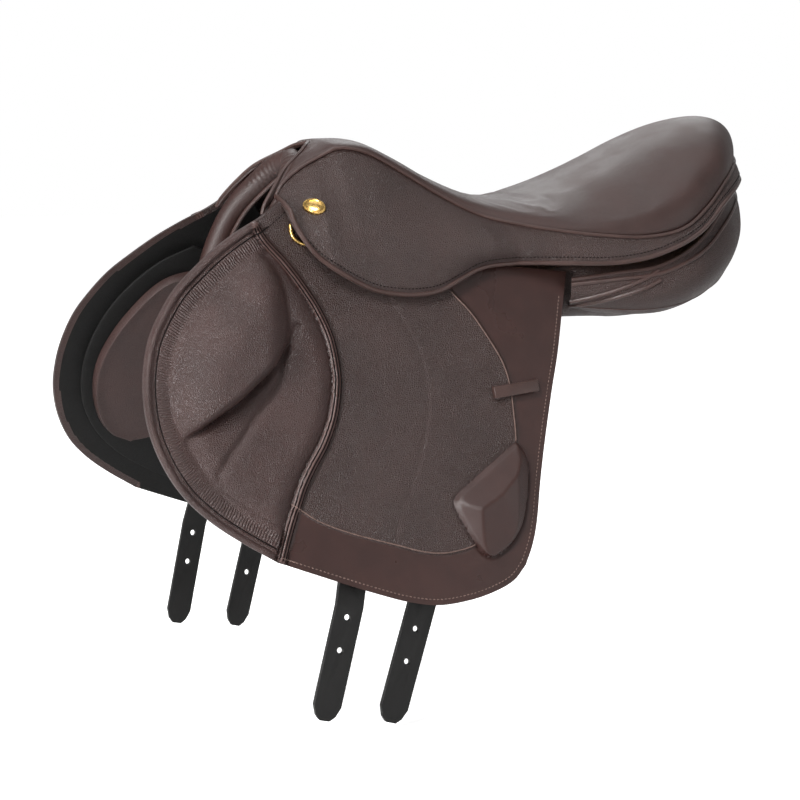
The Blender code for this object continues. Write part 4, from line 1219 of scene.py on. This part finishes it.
# The patch is stitched down on each side of the calf block
patch_rows = [between(PATCH_SEAM, *ends) for ends in ((0.020, 0.152), (0.256, -0.004))]
for side_name, side in SIDES.items():
    bm = one_flap.copy()
    bmesh.ops.scale(bm, verts=bm.verts, vec=(1.0, side, 1.0))
    face_outwards(bm, (-0.15, -side * 2.0, -0.05))
    flap = new_piece(f"flap_hide_{side_name}", bm, [flap_hide, black_leather])
    for name, values in relief.items():
        held = flap.data.attributes.new(name, "FLOAT", "POINT")
        held.data.foreach_set("value", values.astype(np.float32))
    outside = BVHTree.FromPolygons(
        [v.co for v in flap.data.vertices], [p.vertices for p in flap.data.polygons]
    )
    lining = flap.modifiers.new("lining", "SOLIDIFY")
    lining.thickness = FLAP_LEATHER
    lining.offset = -1.0
    lining.material_offset = 1
    lining.material_offset_rim = 0
    settle(flap)
    points = points_of(flap.data)
    top, under = points[:len(points) // 2], points[len(points) // 2:]
    under[:, 0], under[:, 2] = top[:, 0], top[:, 2]
    under[:, 1] = side * (flap_y(top[:, 2]) - FLAP_LEATHER)
    move_points(flap.data, points)
    for polygon in flap.data.polygons:
        if polygon.material_index == 1:
            corners = [v % len(top) for v in polygon.vertices]
            if relief["front"][corners].max() < BINDING:
                polygon.material_index = 0
    flap.data.shade_smooth()
    flap.data.set_sharp_from_angle(angle=math.radians(50))
    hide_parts(f"flap_{side_name}", f"flap_top_{side_name}", f"knee_block_{side_name}",
                f"calf_block_{side_name}")
    bend = ("root", f"flap_{side_name}", *bend_across(hinge[f"flap_lift_{side_name}"], 0.016))
    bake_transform(flap)

    rows = {
        "light": [
            beside(between(flap_bottom_back, 0.004, -0.022), 0.0042),
            *(beside(row, -0.0020) for row in patch_rows)],
        "dark": [
            *(beside(KNEE_SEAM, STRIP_WIDTH * (FIRST_ROW + row * ROW_GAP)) for row in range(3)),
            beside(between(FRONT_EDGE, 0.004, -0.002), -0.0090)],
    }
    for shade, lines in rows.items():
        laid = [on_surface(outside, side, evenly(line, 0.002), 0.0001) for line in lines]
        bm = stitches(laid, STITCH_SPACING, EDGE_STITCH)
        thread = light_thread if shade == "light" else dark_thread
        made = new_piece(f"flap_{shade}_stitches_{side_name}", bm, [thread])
        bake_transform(made)

    softened(f"keeper_{side_name}", f"leather_keeper_{side_name}", edge_leather,
             f"flap_{side_name}", 0.0006)

# ---- skirts ------------------------------------------------------------------------------------
# A pebbled skirt covers each stirrup bar and runs on as a narrow strip round the cantle. Its
# lower edge is turned over a cord and stitched. The round lobe in front stands off the bar.
SKIRT_LEATHER, SKIRT_SPACING = 0.004, 0.0032
SKIRT_LOW = spline([
    (-0.2055, 0.0900), (-0.2040, 0.0780), (-0.2010, 0.0670), (-0.1935, 0.0525), (-0.1830, 0.0400),
    (-0.1630, 0.0265), (-0.1390, 0.0145), (-0.1170, 0.0100), (-0.0990, 0.0092), (-0.0800, 0.0115),
    (-0.0600, 0.0195), (-0.0450, 0.0262), (-0.0300, 0.0300), (0.0000, 0.0315), (0.0370, 0.0312),
    (0.0750, 0.0310), (0.1050, 0.0352), (0.1330, 0.0445), (0.1550, 0.0550), (0.1700, 0.0650),
    (0.1850, 0.0770), (0.2050, 0.0880), (0.2250, 0.0940), (0.2430, 0.0965), (0.2600, 0.0975),
])
SKIRT_STAND_OFF, FRONT_STAND_OFF = 0.009, 0.016
SKIRT_SWELL = 0.0165


def skirt_surface(across, up):
    """The skirt's outside on the off side: across runs to the back, up to the seat's edge."""
    top = at_shares(skirt_top_line, across)
    ahead = heading(skirt_top_line, across, 0.004)
    out = unit(np.stack([-ahead[:, 1], ahead[:, 0]], axis=1))
    x = top[:, 0]
    behind = np.clip((x - 0.02) / 0.08, 0.0, 1.0)
    behind = (behind * behind * (3 - 2 * behind))[:, None]
    out = unit(np.array([0.0, 1.0]) * (1 - behind) + out * behind)
    low_z = np.interp(x, SKIRT_LOW[:, 0], SKIRT_LOW[:, 1])
    front = np.clip((-0.140 - x) / 0.035, 0.0, 1.0)
    stand_off = SKIRT_STAND_OFF + (FRONT_STAND_OFF - SKIRT_STAND_OFF) * front
    flap_side = np.maximum(flap_y(low_z) + stand_off, top[:, 1] + 0.008)
    reach = (flap_side - top[:, 1]) * (1 - behind[:, 0]) + 0.005 * behind[:, 0]
    swell = SKIRT_SWELL * np.clip(1 - (x + 0.030) / 0.07, 0.12, 1.0)
    swell *= np.clip((x + 0.206) / 0.03, 0.15, 1.0)
    away = reach * (1 - up) + swell * np.sin(math.pi * up)
    return np.stack([
        x + away * out[:, 0], top[:, 1] + away * out[:, 1],
        low_z + (top[:, 2] - 0.0008 - low_z) * up,
    ], axis=1)


skirt_outsides = {}
for side_name, side in SIDES.items():
    bm = grid_sheet(260, 34, lambda across, up: mirrored(skirt_surface(across, up), side))
    bmesh.ops.remove_doubles(bm, verts=bm.verts, dist=0.00005)
    face_outwards(bm, (0.0, 0.0, -0.05))
    skirt = new_piece(f"skirt_hide_{side_name}", bm, [pebbled])
    thick = skirt.modifiers.new("hide", "SOLIDIFY")
    thick.thickness = SKIRT_LEATHER - 0.001
    thick.offset = -1.0
    settle(skirt)
    skirt.data.shade_smooth()
    skirt_outsides[side_name] = BVHTree.FromPolygons(
        [v.co for v in skirt.data.vertices], [p.vertices for p in skirt.data.polygons]
    )
    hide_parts(f"skirt_{side_name}", f"skirt_lobe_{side_name}")
    bend = ("root", f"skirt_lobe_{side_name}",
            *bend_across(hinge[f"skirt_lift_{side_name}"], 0.011))
    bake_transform(skirt)
    shares = np.linspace(0.0, 1.0, 240)
    edge = mirrored(skirt_surface(shares, np.zeros_like(shares)), side)
    corner = mirrored(skirt_surface(np.zeros(8), np.linspace(1.0, 0.0, 8)), side)
    piping(f"skirt_bead_{side_name}", [np.vstack([corner[:-1], edge])], 0.0021, edge_leather,
           blend=bend)
    rise = 0.0050 / np.maximum(
        skirt_surface(shares, np.ones_like(shares))[:, 2]
        - skirt_surface(shares, np.zeros_like(shares))[:, 2], 0.006)
    row = mirrored(skirt_surface(shares, np.clip(rise, 0, 0.6)), side)
    over = mirrored(skirt_surface(shares, np.clip(rise + 0.05, 0, 0.7)), side)
    ahead = np.gradient(row, axis=0)
    normals = np.cross(over - row, ahead)
    normals *= np.sign((normals[:, 1] * side + normals[:, 0] * 0.3))[:, None]
    bm = stitches([(row, normals)], SKIRT_SPACING, EDGE_STITCH)
    made = new_piece(f"skirt_stitches_{side_name}", bm, [dark_thread])
    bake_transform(made)

# ---- brass fittings ----------------------------------------------------------------------------
# A domed oval nail head, struck with a plain rim, holds each skirt to the head. Below it a cast
# brass ring hangs in a leather chape for the breastplate.


def brass_material():
    material, tree, shader, place = new_material("brass", 0.24, metallic=1.0)
    tone, mask = mottled(tree, place, (0.60, 0.39, 0.13), 0.0016, 0.6)
    tree.links.new(tone, shader.inputs["Base Color"])
    tree.links.new(ramp(tree, mask, 0.0, 1.0, 0.34, 0.18), shader.inputs["Roughness"])
    fine = add_node(tree, "TexNoise", {"Vector": place, "Scale": 1400.0, "Detail": 3.0})
    bumped(tree, shader, fine.outputs["Fac"], 0.00005)
    return material


# The nail head's outline turned about its middle: share of its half length, height
NAIL_PROFILE = (
    (0.0, 0.0022), (0.25, 0.00215), (0.50, 0.0019), (0.68, 0.0015), (0.75, 0.0012), (0.80, 0.0014),
    (0.86, 0.0019), (0.93, 0.0019), (0.98, 0.0014), (1.0, 0.0008), (1.0, -0.0012),
)
NAIL_SIZE = (0.0102, 0.0073)
NAIL_TILT = math.radians(40)
NAIL_SHIFT = Vector((0.0050, 0.0, -0.0080))


def nail_head(side_name, side):
    """A domed oval with a raised rim, set flat on the skirt with its back end lower."""
    low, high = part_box(f"nail_plate_{side_name}")
    centre = (low + high) / 2 + NAIL_SHIFT
    found, normals = on_surface(skirt_outsides[side_name], side, [(centre.x, centre.z)])
    out = Vector(normals[0])
    along = Vector((math.cos(NAIL_TILT), 0.0, -math.sin(NAIL_TILT)))
    along = (along - along.dot(out) * out).normalized()
    set_down = Matrix((along, out.cross(along), out)).transposed().to_4x4()
    set_down.translation = found[0]
    bm = bmesh.new()
    rim = [bm.verts.new((share, 0.0, height)) for share, height in NAIL_PROFILE]
    edges = [bm.edges.new(pair) for pair in zip(rim, rim[1:])]
    bmesh.ops.spin(bm, geom=rim + edges, cent=(0, 0, 0), axis=(0, 0, 1), angle=2 * math.pi,
                   steps=48, use_merge=True)
    bmesh.ops.remove_doubles(bm, verts=bm.verts, dist=0.00001)
    bmesh.ops.holes_fill(bm, edges=[e for e in bm.edges if e.is_boundary], sides=0)
    bmesh.ops.scale(bm, verts=bm.verts, vec=(*NAIL_SIZE, 1.0))
    bmesh.ops.recalc_face_normals(bm, faces=bm.faces)
    bmesh.ops.transform(bm, matrix=set_down, verts=bm.verts)
    made = new_piece(f"nail_head_{side_name}", bm, [brass], "root")
    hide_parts(f"nail_plate_{side_name}")


RING_WIRE, RING_DROP = 0.0020, 0.006


def breastplate_ring(side_name, side):
    """A straight bar in the chape and a round bow below it, cast as one."""
    bar = Vector(hinge[f"d_ring_swing_{side_name}"]["pos_m"])
    low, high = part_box(f"d_ring_{side_name}")
    reach = (high.x - low.x) / 2 - RING_WIRE
    down = Vector((0.0, side * FLAP_SPREAD, -1.0)).normalized()
    bow = [(reach * math.cos(turn), RING_DROP + reach * math.sin(turn))
           for turn in np.linspace(math.pi, 0.0, 32)]
    flat = [(-0.86 * reach, 0.0), (-reach, 0.0016), *bow, (reach, 0.0016), (0.86 * reach, 0.0)]
    path = [bar + x * Vector((1.0, 0.0, 0.0)) + drop * down for x, drop in flat]
    made = piping(f"ring_{side_name}", [path], RING_WIRE, brass,
                  body=f"d_ring_{side_name}", ring=True)
    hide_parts(f"d_ring_{side_name}")


brass = brass_material()
for side_name, side in SIDES.items():
    nail_head(side_name, side)
    softened(f"ring_chape_{side_name}", f"chape_{side_name}", edge_leather,
             "root", 0.0005)
    breastplate_ring(side_name, side)

# ---- stage -------------------------------------------------------------------------------------
# A white floor that glows only to the camera, and soft boxes in front, above, beside and behind.
FLOOR_Z = cad_low.z - 0.004
FLOOR_GLOW, SKY_LIGHT = 0.72, 0.32


def floor_material():
    material, tree, shader, place = new_material("floor", 0.9, specular=0.1)
    shader.inputs["Base Color"].default_value = (0.93, 0.93, 0.93, 1.0)
    shader.inputs["Emission Color"].default_value = (1.0, 1.0, 1.0, 1.0)
    seen = add_node(tree, "LightPath").outputs["Is Camera Ray"]
    tree.links.new(number(tree, "MULTIPLY", seen, FLOOR_GLOW), shader.inputs["Emission Strength"])
    return material


bm = bmesh.new()
bmesh.ops.create_grid(bm, x_segments=1, y_segments=1, size=6.0)
bmesh.ops.translate(bm, verts=bm.verts, vec=(0.0, 0.0, FLOOR_Z))
mesh = bpy.data.meshes.new("floor")
bm.to_mesh(mesh)
bm.free()
floor = bpy.data.objects.new("floor", mesh)
mesh.materials.append(floor_material())
bpy.context.scene.collection.objects.link(floor)


def soft_box(name, place, aim, size, power):
    light = bpy.data.lights.new(name, "AREA")
    light.shape = "RECTANGLE"
    light.size, light.size_y = size
    light.energy = power
    made = bpy.data.objects.new(name, light)
    made.location = place
    made.rotation_euler = (Vector(aim) - Vector(place)).to_track_quat("-Z", "Y").to_euler()
    bpy.context.scene.collection.objects.link(made)


soft_box("key", (-1.4, -1.1, 1.9), (-0.05, 0.0, 0.0), (0.6, 0.6), 44.0)
soft_box("fill", (1.5, -1.8, 0.6), (0.0, 0.0, 0.0), (1.2, 1.2), 7.0)
soft_box("side", (-2.0, -0.9, 0.35), (-0.2, 0.0, -0.05), (0.35, 1.3), 40.0)
soft_box("top", (0.1, 0.4, 2.2), (0.0, 0.0, 0.0), (1.6, 1.2), 11.0)
soft_box("rim", (0.9, 1.9, 1.1), (0.0, 0.0, 0.0), (1.2, 0.8), 7.0)

world = bpy.data.worlds.new("studio")
bpy.context.scene.world = world
world.use_nodes = True
sky = world.node_tree
backdrop = sky.nodes["Background"]
backdrop.inputs["Color"].default_value = (1.0, 1.0, 1.0, 1.0)
seen = add_node(sky, "LightPath").outputs["Is Camera Ray"]
sky.links.new(ramp(sky, seen, 0.0, 1.0, SKY_LIGHT, 1.0), backdrop.inputs["Strength"])
bpy.context.scene.view_settings.view_transform = "Standard"

camera = bpy.data.cameras.new("camera")
camera.sensor_width = 36.0
camera.lens = 108.5
shot = bpy.data.objects.new("camera", camera)
shot.location = (-0.9214, -1.9271, 0.2065)
shot.rotation_euler = (math.radians(90 - 8.145), 0.0, math.radians(-23.836))
bpy.context.scene.collection.objects.link(shot)
bpy.context.scene.camera = shot
